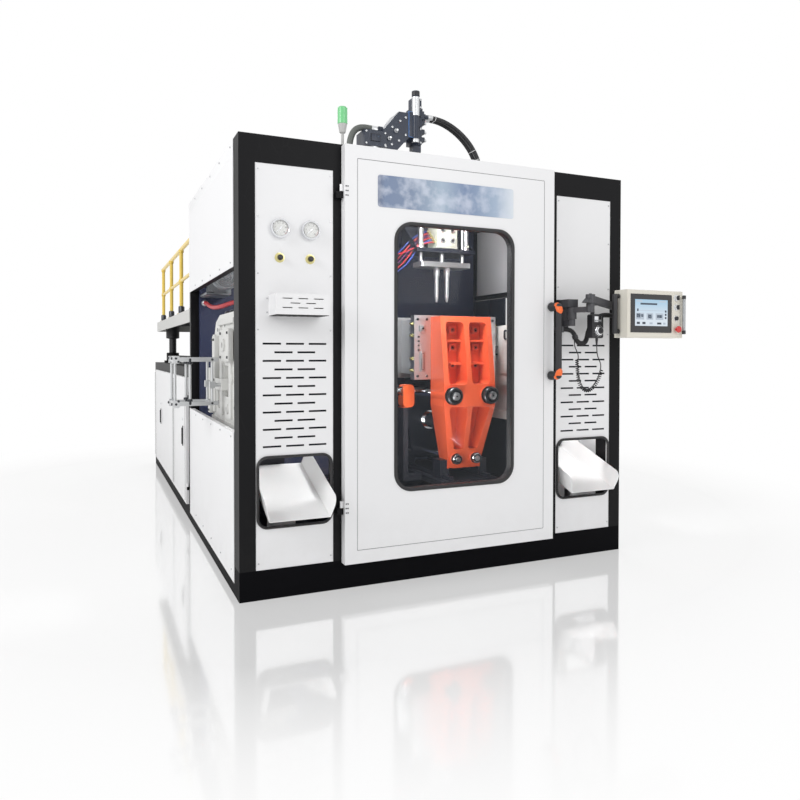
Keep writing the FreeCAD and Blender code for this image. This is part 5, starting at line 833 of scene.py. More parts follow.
# %% Dress the nodes
DRESS = {
    WHITE: ("front_panel_left", "front_panel_right", "vent_hood", "side_panels", "side_cladding",
            "roof_panel", "door_leaf", "cabinet_door_front", "cabinet_door_rear"),
    BLACK: ("main_frame", "door_hinges", "rear_cabinet", "levelling_jacks"),
    PLINTH: ("base_frame",),
    ARM_GREY: ("arm_bracket", "arm_link_inner", "arm_link_outer"),
    ORANGE: ("front_platen",),
    SADDLE: ("carriage",),
    PRESS: ("deflash_units",),
    DARK_PAINT: ("machine_bed", "blow_unit", "rear_platen"),
    STEEL: ("gauge_needle_left", "gauge_needle_right", "barrel", "die_head"),
    CHUTE: ("chutes",),
    ALUMINIUM: ("mould_front", "mould_rear", "takeout_frame", "blow_plate"),
    CHROME: ("clamp_cylinder", "gauge_cases", "selector_upper", "selector_lower", "pendant_dial"),
    TIES: ("tie_bars",),
    YELLOW: ("handrails",),
    NAVY: ("bulkhead", "hydraulic_unit"),
    CREAM: ("operator_box",),
    PLASTIC: ("door_handle", "regulator_knob_left", "regulator_knob_right", "pendant",
              "push_button"),
    BEZEL: ("screen_bezel",),
    RED: ("emergency_stop",),
    LAMP: ("signal_lamp",),
    DECK: ("platform",),
    BLUE: ("extruder_drive",),
    VALVE: ("valve_set",),
    SHEET: ("hopper",),
    GLASS: ("window_pane",),
    RUBBER: ("conduit", "curly_cord", "pendant_lead", "hose_pair"),
    HOSE_GREY: ("hose_grey",),
}
for material, names in DRESS.items():
    for name in names:
        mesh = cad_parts[name].data
        mesh.materials.clear()
        mesh.materials.append(material)
bare = set(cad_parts) - {name for names in DRESS.values() for name in names}
print("dressed", sum(len(names) for names in DRESS.values()), "bare", sorted(bare))

# %% [markdown]
# ## The door
# The door carries a long enamelled plate, which is bare here, a black rubber profile that
# holds the glass, a thin seal in the seam of its inner panel, and the screws of its hinges.
# The plate's enamel runs from dark blue to pale blue, so its colour follows its own length.

# %% Enamelled plate
DOOR_FACE, DOOR_LEFT, DOOR_RIGHT, DOOR_LOW, DOOR_HIGH = -60, 549, 1894, 145, 2390
PLATE_LEFT, PLATE_RIGHT, PLATE_LOW, PLATE_HIGH = 737, 1600, 2072, 2245
ENAMEL = finish("blue_enamel_plate", (0.20, 0.28, 0.48), 0.30, spread=0.2, cloud_scale=9, bump=0.05,
                coat=0.3)
STOPS = ((0.0, (0.035, 0.065, 0.15)), (0.05, (0.08, 0.14, 0.27)), (0.22, (0.10, 0.16, 0.28)),
         (0.45, (0.30, 0.39, 0.50)), (0.62, (0.12, 0.19, 0.34)), (0.86, (0.34, 0.43, 0.56)),
         (1.0, (0.70, 0.75, 0.80)))
tree = ENAMEL.node_tree
share = mapped(tree, axes(tree)["X"], at(PLATE_LEFT, 0, 0).x, at(PLATE_RIGHT, 0, 0).x)
ramp = node(tree, "ShaderNodeValToRGB", i0=share)
stops = ramp.color_ramp.elements
while len(stops) < len(STOPS):
    stops.new(0.5)
for stop, (spot, colour) in zip(stops, STOPS):
    stop.position, stop.color = spot, (*colour, 1)
rubbed = mapped(tree, noise(tree, 11.0, 5.0), 0.45, 0.66, 0.0, 0.55)
worn = blended(tree, rubbed, ramp.outputs["Color"], (0.66, 0.70, 0.80, 1))
fill(tree.nodes["Principled BSDF"], Base_Color=worn)
plate(rounded_outline(PLATE_RIGHT - PLATE_LEFT, PLATE_HIGH - PLATE_LOW, 14),
      ((PLATE_LEFT + PLATE_RIGHT) / 2, DOOR_FACE + 0.5, (PLATE_LOW + PLATE_HIGH) / 2), 3, 1.0)
finished("enamel_plate", ENAMEL, "door", 20)
print("plate", PLATE_RIGHT - PLATE_LEFT, "x", PLATE_HIGH - PLATE_LOW, "mm")

# %% Window profile, seam seal, pull and hinges
WINDOW_X, WINDOW_Z, WINDOW_W, WINDOW_H, WINDOW_R = 1221.5, 1258, 756, 1474, 98
SEAM_INSET = 70
trim_ring((WINDOW_W + 18, WINDOW_H + 18, WINDOW_R + 9),
          (WINDOW_W - 20, WINDOW_H - 20, WINDOW_R - 10), (WINDOW_X, DOOR_FACE + 0.5, WINDOW_Z), 8, 12)
trim_ring((WINDOW_W + 3, WINDOW_H + 3, WINDOW_R + 1), (WINDOW_W - 12, WINDOW_H - 12, WINDOW_R - 6),
          (WINDOW_X, -5, WINDOW_Z), 42, 12)
finished("window_profile", RUBBER, "door", 50)
SEAL = finish("grey_seam_seal", (0.16, 0.16, 0.17), 0.6, spread=0.2, bump=0.05)
seam_w, seam_h = DOOR_RIGHT - DOOR_LEFT - 2 * SEAM_INSET, DOOR_HIGH - DOOR_LOW - 2 * SEAM_INSET
trim_ring((seam_w + 1, seam_h + 1, 5), (seam_w - 7, seam_h - 7, 3),
          (WINDOW_X, DOOR_FACE + 3.6, (DOOR_LOW + DOOR_HIGH) / 2), 2.2, 3)
finished("door_seam_seal", SEAL, "door", 50)
HANDLE_X, HANDLE_Y, HANDLE_LOW, HANDLE_HIGH = 1871, -142, 1126, 1578
for z, way in ((HANDLE_LOW + 18, -1), (HANDLE_HIGH - 18, 1)):
    turned([(18.4, 8), (20, 12), (20, 40), (26, 52), (28, 74), (24, 81)],
           (HANDLE_X, HANDLE_Y, z), BACK, 28)
    elbow, radii = [], []
    for step in range(15):
        angle = math.pi / 2 * (step - 2) / 10
        elbow.append(at(HANDLE_X, HANDLE_Y + 26 - 33 * math.sin(angle),
                        z - way * (34 - 39 * math.cos(angle))))
        radii.append(20 * min(1, 0.5 + 0.5 * min(step, 14 - step) / 3))
    bar(elbow, radii, 20, 1)
finished("handle_ends", [PLASTIC, ORANGE_CAP], "door", 50)
screw(grid((556, 566), DOOR_FACE, (425, 449, 473, 2118, 2142, 2166)), FRONT, 3.6)
finished("hinge_screws", DARK_STEEL, "door")
block((1884, -52, 1290), (1896, -14, 1420), 2)
block((1892, -46, 1330), (1899, -20, 1380), 2)
finished("door_latch", STEEL, "door")

# %% [markdown]
# ## Front panels
# Each of the two narrow panels has a black rubber edging round its chute opening and small
# screws along its edges. The left panel also has two pressure gauges, which show a white dial
# with marks and plain numbers, and two regulators with brass nuts.

# %% Edging and screws
PANEL_FACE, CHUTE_W, CHUTE_H, CHUTE_Z = 2, 396, 364, 556
for word, middle in (("left", 294), ("right", 2166)):
    trim_ring((CHUTE_W + 16, CHUTE_H + 16, 58), (CHUTE_W - 12, CHUTE_H - 12, 44),
              (middle, 2.5, CHUTE_Z), 13, 8)
    finished(f"chute_edging_{word}", RUBBER, "root", 50)
    screw(grid((middle - 195, middle + 195), PANEL_FACE, (190, 500, 1400, 1690, 1980, 2225)),
          FRONT, 4.2)
    finished(f"panel_screws_{word}", STEEL, "root")
# painted shade: a thin black plate with slats under the vent hood stands in for the dark of its open
# underside
block((158, -152, 1470.5), (430, 0, 1473), 0)
for vent in range(7):
    block((168 + 37 * vent, -140, 1469.5), (190 + 37 * vent, -12, 1471), 0.4)
finished("hood_underside_painted_shade", BLACK, "root")
screw(grid((146, 442), PANEL_FACE, (1490, 1562)), FRONT, 4.0)
finished("hood_screws", STEEL, "root")

# %% Gauge dials
GAUGES, GAUGE_Z = (212, 376), 1925
TICKS, SCALE_START, SCALE_SWEEP, RED_FROM, MARK_RADIUS = 40, 225, 270, 32, 39
turned([(0, 0), (41.5, 0), (41.5, 0.4), (0, 0.4)], grid(GAUGES, -18.2, GAUGE_Z), FRONT, 48)
for x in GAUGES:
    for tick in range(TICKS + 1):
        long, half = (7, 0.0006) if tick % 4 == 0 else (4, 0.00035)
        angle = math.radians(SCALE_START - SCALE_SWEEP * tick / TICKS)
        outwards = Vector((math.cos(angle), 0, math.sin(angle)))
        flank = Vector((-outwards.z, 0, outwards.x)) * half
        near, far = (at(x, -19, GAUGE_Z) + outwards * (radius / 1000)
                     for radius in (MARK_RADIUS - long, MARK_RADIUS))
        mark = bench.faces.new([bench.verts.new(corner) for corner in
                             (near - flank, near + flank, far + flank, far - flank)])
        mark.material_index = 2 if tick > RED_FROM else 1
finished("gauge_dials", [DIAL, INK, DIAL_RED], "root")
for x, word in zip(GAUGES, ("left", "right")):
    for figure in range(0, 11, 2):
        angle = math.radians(SCALE_START - SCALE_SWEEP * figure / 10)
        text = bpy.data.curves.new(f"gauge_{word}_figure_{figure}", "FONT")
        text.body, text.size, text.extrude = str(figure), 0.0085, 0.0001
        text.align_x, text.align_y = "CENTER", "CENTER"
        text.materials.append(INK)
        figure_piece = bpy.data.objects.new(f"gauge_{word}_figure_{figure}", text)
        scene.collection.objects.link(figure_piece)
        figure_piece.location = at(x + 27 * math.cos(angle), -18.9, GAUGE_Z + 27 * math.sin(angle))
        figure_piece.rotation_euler = (math.pi / 2, 0, 0)
        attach(figure_piece, "root")
rims = grid(GAUGES, -22, GAUGE_Z)
turned([(41, 0), (41.5, 3), (46, 6.5), (49.5, 5.5), (51, 2), (51, -18), (50, -19)], rims, FRONT, 56)
finished("gauge_bezels", CHROME, "root")
turned([(0, 4.4), (20, 3.9), (34, 2.6), (41.2, 0.6), (41.2, 0)], rims, FRONT, 48)
finished("gauge_glasses", LENS, "root")

# %% Regulators
REGULATOR_Z, RIBS = 1775, 18
for profile in ([(13, 0), (26, 0), (26, 1.5), (22, 2), (13, 5)],
                [(12.6, 5), (16.5, 5.4), (16.5, 10), (14.6, 11)]):
    turned(profile, grid(GAUGES, PANEL_FACE, REGULATOR_Z), FRONT, 28)
finished("regulator_nuts", BRASS, "root")
for x, body in zip(GAUGES, ("regulator_left", "regulator_right")):
    turned([(0, 0.4), (8.5, 0), (9.4, -0.8)], (x, -28, REGULATOR_Z), FRONT, 24)
    for angle in round_about(RIBS):
        spot = at(x + 12.9 * math.cos(angle), -26, REGULATOR_Z + 12.9 * math.sin(angle))
        bar([spot, spot + Vector(BACK) * 0.019], 1.3, 6)
    finished(f"{body}_ribs", PLASTIC, body)

# %% [markdown]
# ## Operator's box
# A black glass bezel holds the lit display. Its picture is only coloured tiles, drawn as thin
# plates that glow: a pale blue field with darker tiles where a real screen has its symbols.
# Chrome rings hold the switches and two bars protect them.

# %% Lit display
FIELD_LEFT, FIELD_RIGHT, FIELD_LOW, FIELD_HIGH, FIELD_Y = 2308, 2566, 1446, 1606, -302.4
low, high = FIELD_LOW / 1000, FIELD_HIGH / 1000
FIELD = glow_finish("display_field", (0.74, 0.82, 0.90), (0.40, 0.62, 0.80), 1.50, high, 0.9)
TILE = glow_finish("display_tiles", (0.50, 0.58, 0.68), (0.62, 0.70, 0.80), low, high, 0.8)
DARK_TILE = glow_finish("display_marks", (0.03, 0.045, 0.07), (0.05, 0.08, 0.13), low, high, 0.7)
PALE, DARK = 1, 2
block((FIELD_LEFT, FIELD_Y, FIELD_LOW), (FIELD_RIGHT, FIELD_Y + 0.8, FIELD_HIGH), 0)
for x, z, wide, tall, index in (
        (2350, 1574, 132, 11, DARK), (2320, 1592, 44, 7, PALE), (2500, 1592, 52, 7, PALE),
        (2330, 1538, 216, 3, PALE), (2316, 1484, 62, 40, PALE), (2398, 1484, 52, 40, PALE),
        (2470, 1484, 62, 40, PALE), (2320, 1496, 30, 24, DARK), (2354, 1500, 20, 16, DARK),
        (2410, 1492, 28, 24, DARK), (2480, 1496, 42, 18, DARK), (2544, 1510, 13, 13, DARK),
        (2544, 1490, 13, 13, DARK), (2544, 1530, 13, 13, DARK), (2324, 1534, 11, 16, DARK),
        (2322, 1456, 24, 14, DARK), (2366, 1456, 24, 14, DARK), (2422, 1456, 24, 12, PALE),
        (2482, 1456, 34, 12, DARK), (2530, 1456, 20, 12, PALE)):
    block((x, FIELD_Y - 0.35, z), (x + wide, FIELD_Y + 0.2, z + tall), 0, index)
finished("display", [FIELD, TILE, DARK_TILE], "screen_box")
trim_ring((322, 232, 7), (316, 226, 5), (2437, -303, 1522), 1.4, 4)
finished("bezel_lip", PLASTIC, "screen_box", 50)
print("display", FIELD_RIGHT - FIELD_LEFT, "x", FIELD_HIGH - FIELD_LOW, "mm")

# %% Switch rings, grips and the box's frame
CONTROL_X, BOX_FACE, SELECTORS, BUTTON_Z, STOP_Z = 2636, -300, (1622, 1564), 1496, 1428
LEFT_GRIP_X, LEFT_GRIP_Y, RIGHT_GRIP_X, RIGHT_GRIP_Y = 2218, -300 + 112 * 0.62, 2676, -326
for z, radius in ((SELECTORS[0], 15), (SELECTORS[1], 15), (BUTTON_Z, 13.5)):
    turned([(radius + 0.4, 0), (radius + 5, 0), (radius + 5, 3), (radius + 3, 5), (radius + 0.4, 5)],
           (CONTROL_X, BOX_FACE, z), FRONT)
finished("switch_rings", CHROME, "screen_box")
for body, z in zip(("selector_a", "selector_b"), SELECTORS):
    block((CONTROL_X - 4.6, -327, z - 14.5), (CONTROL_X + 4.6, -315.5, z + 14.5))
    finished(f"{body}_lever", PLASTIC, body)
turned([(20.3, 21), (20.4, 27), (15, 32.5), (0, 34.6)], (CONTROL_X, BOX_FACE, STOP_Z), FRONT, 36)
finished("stop_mushroom", RED, "stop")
turned([(7.2, -4), (15, -2), (16, 20), (16, 214), (15, 236), (7.2, 238)],
       (LEFT_GRIP_X, LEFT_GRIP_Y, 1402), UP, 20)
turned([(6.2, 0), (11, 2), (11, 22), (14, 24), (14, 27), (6.2, 27)],
       grid(LEFT_GRIP_X, LEFT_GRIP_Y, (1412, 1626)), RIGHT, 18)
finished("left_grip", PLASTIC, "screen_box")
turned(collar(7.2, 9.6, -2, 234), (RIGHT_GRIP_X, RIGHT_GRIP_Y, 1402), UP, 20)
turned(collar(7.6, 11.5, -2, 22), grid(RIGHT_GRIP_X, RIGHT_GRIP_Y, (1400, 1616)), UP, 20, 1)
finished("right_grip", [GRIP_GREY, PLASTIC], "screen_box")
trim_ring((434, 284, 5), (422, 272, 4), (2470, BOX_FACE, 1519), 1.8, 3)
finished("box_door_fold", CREAM, "screen_box", 50)
screw(grid((2262, 2678), -188, (1386, 1652)), BACK, 3.5)
finished("box_screws", STEEL, "screen_box")

# %% Pendant
DIAL_X, DIAL_Y, DIAL_Z = 2148, -168, 1416
turned([(25.2, 0), (27.5, 0.5), (27.5, 3), (25.2, 4)], (DIAL_X, DIAL_Y, DIAL_Z), FRONT, 40)
for angle in round_about(20):
    outwards = Vector((math.cos(angle), 0, math.sin(angle)))
    spot = at(DIAL_X, DIAL_Y - 0.2, DIAL_Z) + outwards * 0.031
    bar([spot, spot + outwards * 0.004], 0.6, 5, 1)
block((2112, -170.5, 1468), (2168, -167, 1506), 2, 2)
turned(knob(5.5, 6, 4, 3), grid((2122, 2140, 2158), -170.5, 1478), FRONT, 16, 3)
finished("pendant_face", [CHROME, DIAL, DARK_STEEL, GRIP_GREY], "arm_outer")
turned([(0, 17), (17, 17), (18, 16.2)], (DIAL_X, DIAL_Y, DIAL_Z), FRONT, 30)
turned([(0, 24.4), (5.6, 24.2), (6, 20), (5, 16)], (DIAL_X, DIAL_Y, DIAL_Z + 16), FRONT, 18)
finished("dial_face", PLASTIC, "dial")
print("operator's side dressed")

# %% [markdown]
# ## Inside the front bay
# The clamp's thick nuts have grooved rims and bright shaft ends, the pockets of the orange
# casting hold small bosses with bolts, and the mould's plates carry clamps and water nipples.

# %% Clamp nuts, pocket bosses and mould plates
PLATEN_FRONT, POCKET_FLOOR, MOULD_HALF = 565, 724, 324
nuts = grid((STATION_X - 140, STATION_X + 140), PLATEN_FRONT, 992)
foot_nuts = grid((STATION_X - 75.5, STATION_X + 75.5), 655, 556)
for start in (13, 23, 33):
    turned(collar(57, 60.5, start, start + 7), nuts, FRONT, 40)
turned([(30, 56), (32, 60), (42, 60), (50, 54)], nuts, FRONT, 40)
turned(knob(23, 27.6, 72, 69, 56), nuts, FRONT, 32, 2)
turned(disc(6, 73, 72), nuts, FRONT, 16)
turned(collar(35, 37, 30, 50), foot_nuts, FRONT)
turned([(18, 60), (20, 62), (29, 62), (31, 59)], foot_nuts, FRONT, 32, 1)
turned(knob(13, 15, 74, 71, 60), foot_nuts, FRONT, 24, 2)
finished("clamp_nut_faces", [BLACK, DARK_STEEL, STEEL], "front_group")
bosses = grid((STATION_X - 62, STATION_X + 120), POCKET_FLOOR, (1440, 1318, 1196))
for boss in bosses:
    block(*from_point(boss, (-26, -22, -24), (26, 1, 24)), 5)
turned([(0, 21.7), (10, 21.7), (10, 22.4), (15, 22.4), (15, 21)], bosses, FRONT, 20, 1)
turned(disc(9, 22.2, 21), bosses, FRONT, 6, 2)
finished("pocket_bosses", [ORANGE, DARK_STEEL, BLACK], "front_group")
for side in (-1, 1):
    corners = tuple(STATION_X + (MOULD_HALF - inward) * side for inward in (26, 96))
    screw(grid(corners, 770, (1120, 1512)), FRONT, 9, 1)
    x = STATION_X + 262 * side
    block((x - 20, 762, 1150), (x + 20, 770.5, 1290), 3)
    block((x - 11, 760.5, 1164), (x + 11, 763, 1276), 2, 2)
    block((x - 26, 757, 1428), (x + 26, 770.5, 1470), 3)
    screw((x, 757, 1449), FRONT, 7, 1)
    turned([(7, 0), (13, 0), (13, 7), (8, 8), (8, 15), (9.5, 16), (7, 20), (5, 20)],
           grid(STATION_X + MOULD_HALF * side, 800, (1160, 1240, 1400, 1480)), (side, 0, 0), 14, 3)
finished("mould_clamps", [STEEL, DARK_STEEL, BLACK, BRASS], "front_group")
SHAFT_LEFT, SHAFT_RIGHT = (1308, 915, 1014), (1392, 915, 1014)
turned([(20, -3), (26.7, -2.7), (26.7, 14.7), (20.7, 14.7), (20.7, 95.6), (0, 95.6)],
       SHAFT_RIGHT, RIGHT)
turned([(0, 90), (19, 90), (20.5, 86), (20.5, 0), (27, 0), (27, -1)], SHAFT_LEFT, LEFT)
screw(grid(SHAFT_LEFT[0], (888, 942), (985, 1043)), LEFT, 6, 1)
finished("bearing_shaft", [CHROME, DARK_STEEL], "shuttle")
print("clamp dressed")

# %% [markdown]
# ## Blow unit and its air hoses
# The air cylinders hide under a cream cover with four round bolts. Two small cylinders stand
# beside it. Thin red, blue and violet hoses bring the air from a valve block on the navy wall;
# each hangs slack between its two fittings.

# %% Cover and small cylinders
COVER = finish("cream_cover", (0.52, 0.53, 0.45), 0.42, spread=0.06, cloud_scale=12, bump=0.10,
               scuffed=0.3, worn=(0.5, 0.5, 0.45))
COVER_LEFT, COVER_FRONT, PLATE_TOP = 1588, 898, 2031
block((COVER_LEFT, COVER_FRONT, 2046), (1748, 1062, 2206), 7)
block((1582, 905, 2034), (1754, 1066, 2050), 3, 1)
bolts = grid((1628, 1708), COVER_FRONT, (2088, 2164))
turned([(0, 7), (9, 7), (11, 9), (17, 9), (20, 6), (20, 0)], bolts, FRONT, 24, 1)
turned(disc(8, 7.4, 7), bolts, FRONT, 6, 2)
turned([(0, 0), (24, 0), (24, 16), (18, 18), (18, 150), (24, 152), (24, 172), (7, 174), (7, 196),
        (0, 197)], grid((1484, 1852), 960, PLATE_TOP), UP, 24, 1)
for x in (1484, 1852):
    block((x - 10, 926, 2050), (x + 10, 942, 2070), 2, 2)
    block((x - 10, 926, 2182), (x + 10, 942, 2200), 2, 2)
screw(grid((1446, 1890), 960, PLATE_TOP), UP, 8, 1)
finished("blow_cover", [COVER, ALUMINIUM, DARK_STEEL], "root")

# %% Valve block and hoses
VIOLET = finish("violet_hose", (0.16, 0.03, 0.16), 0.4, spread=0.15, bump=0.05)
HOSE_RED = finish("red_hose", (0.50, 0.035, 0.045), 0.38, spread=0.15, bump=0.06)
HOSE_BLUE = finish("blue_hose", (0.035, 0.07, 0.35), 0.38, spread=0.15, bump=0.05)
VALVE_FRONT, AIR_HOSES = 1786, (HOSE_RED, HOSE_BLUE, HOSE_RED, VIOLET, HOSE_RED, HOSE_BLUE)
outlets = [(1290 + 46 * row, VALVE_FRONT, 2080) for row in range(len(AIR_HOSES))]
inlets = [(COVER_LEFT, 932 + 20 * row, 2078 + 18 * row) for row in range(len(AIR_HOSES))]
block((1268, VALVE_FRONT, 1930), (1548, 1800, 2120), 4)
for outlet in outlets:
    block(*from_point(outlet, (-18, -26, -130), (18, 1, -40)), 3, 1)
turned(knob(7, 9, 22, 16), outlets, FRONT, 16, 2)
turned(knob(7, 9, 20, 14), inlets, LEFT, 16, 2)
finished("valve_block", [DARK_PAINT, ALUMINIUM, BRASS], "root")
hose_longs = []
for row, paint in enumerate(AIR_HOSES):
    start, end = (*from_point(outlets[row], (0, -12, 0)), *from_point(inlets[row], (-14, 0, 0)))
    dip = 1975 - 26 * ((row * 5) % 6)
    air_route = [start, (start[0], start[1] - 90, 2076), (start[0] - 60, start[1] - 250, dip),
                 (start[0] - 120 + 20 * (row % 3), 1240 + 30 * row, dip - 30),
                 (1380 - 10 * row, end[1] + 60, dip + 25),
                 (end[0] - 80, end[1] + 4, end[2] - 12), end]
    hose = route_spline(f"air_hose_{row + 1}", air_route, 4.5, 3, paint)
    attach(hose, "root")
    long = length_of(line_of(air_route))
    hose_longs.append(round(long, 3))
print("air hoses", hose_longs)

# %% Light strip and dark guards
LIT = glow_finish("work_light", (1, 1, 1), (1, 1, 1), 2.2, 2.4, 2.5)
block((1000, 300, 2312), (1500, 344, 2339), 4)
block((1010, 306, 2309), (1490, 338, 2313), 1, 1)
finished("work_light", [ALUMINIUM, LIT], "root")
for left, right in ((100, 488), (1972, 2360)):
    block((left, 46, 770), (right, 49, 1480), 0)
    for z in (785, 1465):
        block((left, 26, z - 12), (right, 50, z + 12), 2)
block((2406, 1290, 868), (2410, 1796, 1728), 0)
for y in (1300, 1540, 1786):
    block((2396, y - 9, 866), (2412, y + 9, 1730), 2)
finished("dark_guards", DARK_PAINT, "root")
print("bay dressed")

# %% [markdown]
# ## Left side
# Through the opening in the left side one sees a finned motor with a thick red hose above the
# press casting. The casting is full of bosses, bolts and dark holes. The take-out frame has
# black screws, the rails stand in dark sleeves, and the cabinet's doors have black pulls.

# %% Take-out motor
MOTOR_GREY = finish("cast_motor_grey", (0.26, 0.28, 0.30), 0.40, metal=0.2, spread=0.15,
                    cloud_scale=9, bump=0.2, scuffed=0.4, worn=(0.25, 0.25, 0.26))
MOTOR, MOTOR_FINS = (150, 1200, 1800), 13
cowl = [(0, 0), (20, 0), (22, 4), (88, 4), (96, 12), (96, 60), (90, 62)]
for fin in range(MOTOR_FINS):
    cowl += collar(84, 97, 66 + 14 * fin, 71 + 14 * fin, 1)
cowl += [(84, 258), (100, 260), (100, 282), (0, 282)]
turned(cowl, MOTOR, BACK, 40)
for ring in range(5):
    radius = 28 + 12 * ring
    turned([(radius, 4), (radius + 2, 1), (radius + 6, 1), (radius + 8, 4)], MOTOR, BACK, 36, 1)
block((80, 1300, 1892), (180, 1400, 1940), 5)
block((64, 1482, 1690), (236, 1800, 1712), 3, 2)
block((64, 1482, 1700), (236, 1500, 1880), 3, 2)
finished("take_out_motor", [MOTOR_GREY, STEEL, DARK_PAINT], "root")

# %% Thick red hose
red_route = [(96, 1786, 1650), (92, 1700, 1648), (96, 1500, 1600), (120, 1280, 1590),
             (190, 1120, 1620), (246, 1000, 1610), (252, 960, 1530), (252, 958, 1484)]
red_hose = route_spline("thick_red_hose", red_route, 15, 5, HOSE_RED)
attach(red_hose, "root")
round(length_of(line_of(red_route)), 3)
turned([(15.5, 0), (24, 0), (24, 14), (18, 16), (18, 40), (15.5, 42)], (96, 1800, 1650), FRONT, 20)
turned([(15.5, 0), (26, 0), (26, 12), (18, 14), (18, 44), (15.5, 46)], (252, 958, 1461), UP, 20)
finished("red_hose_fittings", STEEL, "root")

# %% Presses
# Each row is written for the left press; the right one is its mirror image.
PRESS_GREY = finish("press_casting_grey", (0.66, 0.66, 0.64), 0.42, spread=0.12, cloud_scale=9,
                    bump=0.2, scuffed=0.4, worn=(0.36, 0.36, 0.35))
RAISED = (((30, 468, 1230), (60, 742, 1420), 8), ((40, 1016, 1080), (72, 1112, 1390), 8),
          ((36, 1190, 880), (72, 1262, 1180), 6), ((52, 450, 1452), (150, 960, 1484), 6),
          ((150, 560, 1459), (360, 700, 1498), 8), ((412, 640, 1130), (432, 780, 1210), 6))
OUTER_BOLTS = (*grid(30, (492, 718), (1254, 1396)), *grid(40, (1032, 1096), (1106, 1364)),
               (36, 1206, 900), (36, 1246, 1160))
BOSSES = ((30, 605, 1325, 38), (70, 940, 1420, 30), (70, 560, 1130, 34), (70, 700, 940, 30),
          (72, 1150, 1010, 26))
HOLES = ((70, 500, 960), (70, 640, 1180), (70, 800, 1450), (70, 1040, 960), (70, 1070, 1430))
GRIPS = ((560, 1400), (620, 1250), (700, 1440), (820, 1330), (980, 1400))
INNER_BOLTS = (*grid(420, (520, 900, 1120), 1120), (420, 520, 1440), (420, 1120, 1380))
for word, outward, inward in (("left", LEFT, RIGHT), ("right", RIGHT, LEFT)):

    def placed(*spots):
        return [(x if outward == LEFT else WIDE - x, y, z) for x, y, z in spots]

    for low, high, edge in RAISED:
        left, right = sorted(x for x, _, _ in placed(low, high))
        block((left, *low[1:]), (right, *high[1:]), edge)
    screw(placed(*OUTER_BOLTS), outward, 8, 1)
    for *spot, radius in BOSSES:
        turned([(0, 5), (radius * 0.5, 5), (radius * 0.5, 12), (radius * 0.86, 13), (radius, 9),
                (radius, -2)], placed(spot), outward, 28)
        turned(disc(radius * 0.48, 5.6, 4), placed(spot), outward, 20, 1)
    turned(disc(13, 0.8), placed(*HOLES), outward, 20, 1)
    turned([(0, 0), (16, 0), (16, 10), (7, 14), (7, 34), (15, 38), (17, 46), (12, 54), (0, 56)],
           placed(*grid(96, (520, 690, 860), 1484)), UP, 18, 1)
    for y, z in GRIPS:
        bend = ((421, 0), (432, 0), (436, -6), (436, -54), (432, -60), (421, -60))
        bar([at(*spot) for spot in placed(*((x, y, z + dz) for x, dz in bend))], 7, 8, 1)
    screw(placed(*INNER_BOLTS), inward, 11, 1)
    finished(f"press_details_{word}", [PRESS_GREY, DARK_STEEL], "root")
print("presses dressed")

# %% Take-out frame and rails
screw(grid((-141, -11), 772, (973, 1239)), FRONT, 7)
screw([(-223, 766, 1246), (-223, 766, 972), (-209, 766, 1226), (-209, 766, 990)], FRONT, 7)
screw(grid(-243, (785, 975), (1246, 972)), LEFT, 8)
turned(collar(8.4, 15, -16, 16), grid(-141, (785, 975), (985, 1225)), UP, 18)
finished("take_out_screws", DARK_STEEL, "takeout")
SIDES, POSTS, RAIL_FOOT = (38, 2422), (1950, 2750, 3550, 4350), 1612
turned([(19, 72), (24, 68), (26, 60), (26, 8), (40, 7)], grid(SIDES, POSTS, RAIL_FOOT), UP, 20)
for post in grid(SIDES, POSTS, RAIL_FOOT + 8):
    screw(from_point(post, *grid((-22, 22), (-22, 22), 0)), UP, 5, 1)
turned(collar(19.5, 21.5, -14, 14), grid(SIDES, POSTS, (2160, 1900)), UP, 20, 2)
finished("rail_sleeves", [DARK_STEEL, STEEL, YELLOW], "extruder")

# %% Cabinet and side covers
CABINET_LOW, CABINET_HIGH, BACK_FACE = 190, 1084, 4962
for body, node_name, y in (("cabinet_door_a", "cabinet_door_front", 2100),
                           ("cabinet_door_b", "cabinet_door_rear", 3940)):
    block((-35, y - 17, 552), (-29.5, y + 17, 708), 3)
    block((-42, y - 8, 566), (-36, y + 8, 694), 3)
    for z in (576, 684):
        block((-40, y - 7, z - 8), (-33, y + 7, z + 8), 2)
    turned(knob(9, 11, 5, 3), (-30, y, 760), LEFT, 20, 1)
    low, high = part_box(node_name)
    for near in (in_mm(low)[1] + 22, in_mm(high)[1] - 26):
        block((-31.5, near, 150), (-29.8, near + 4, 1060), 0.4)
    finished(f"{body}_pull", [PLASTIC, CHROME], body)
for near, far in ((1960, 3380), (3400, 4900)):
    block((2459, near, CABINET_LOW), (2462.5, far, CABINET_HIGH), 1)
for left, right in ((70, 1210), (1240, 2390)):
    block((left, 4959, CABINET_LOW), (right, 4962.5, CABINET_HIGH), 1)
screw(grid(2462, (1985, 3355, 3425, 4875), (215, 640, 1060)), RIGHT, 5, 1)
screw(grid((95, 1185, 1265, 2365), BACK_FACE, (215, 640, 1060)), BACK, 5, 1)
finished("cabinet_sheets", [WHITE, STEEL], "root")
# the solids of the upper side covers end 80 mm under the top edge, which the photograph's reach
for left, right in ((-3, -0.3), (2460.3, 2463)):
    block((left, 131, 2320), (right, 1900, 2400), 0.3)
finished("side_cover_strips", WHITE, "root")
for x, way in ((-3, LEFT), (2463, RIGHT)):
    screw(grid(x, range(200, 1900, 340), (1760, 2372, 120, 835)), way)
finished("cladding_screws", STEEL, "root")
print("sides dressed")

# %% [markdown]
# ## Valve set on the roof and the extruder behind
# The servo valve is a stack of blocks with many bolts, a light blue plate, a silver cylinder
# with a dark cap and bright hose ends. The extruder has a finned motor, clamps on its heater
# bands and bolts round its flanges.

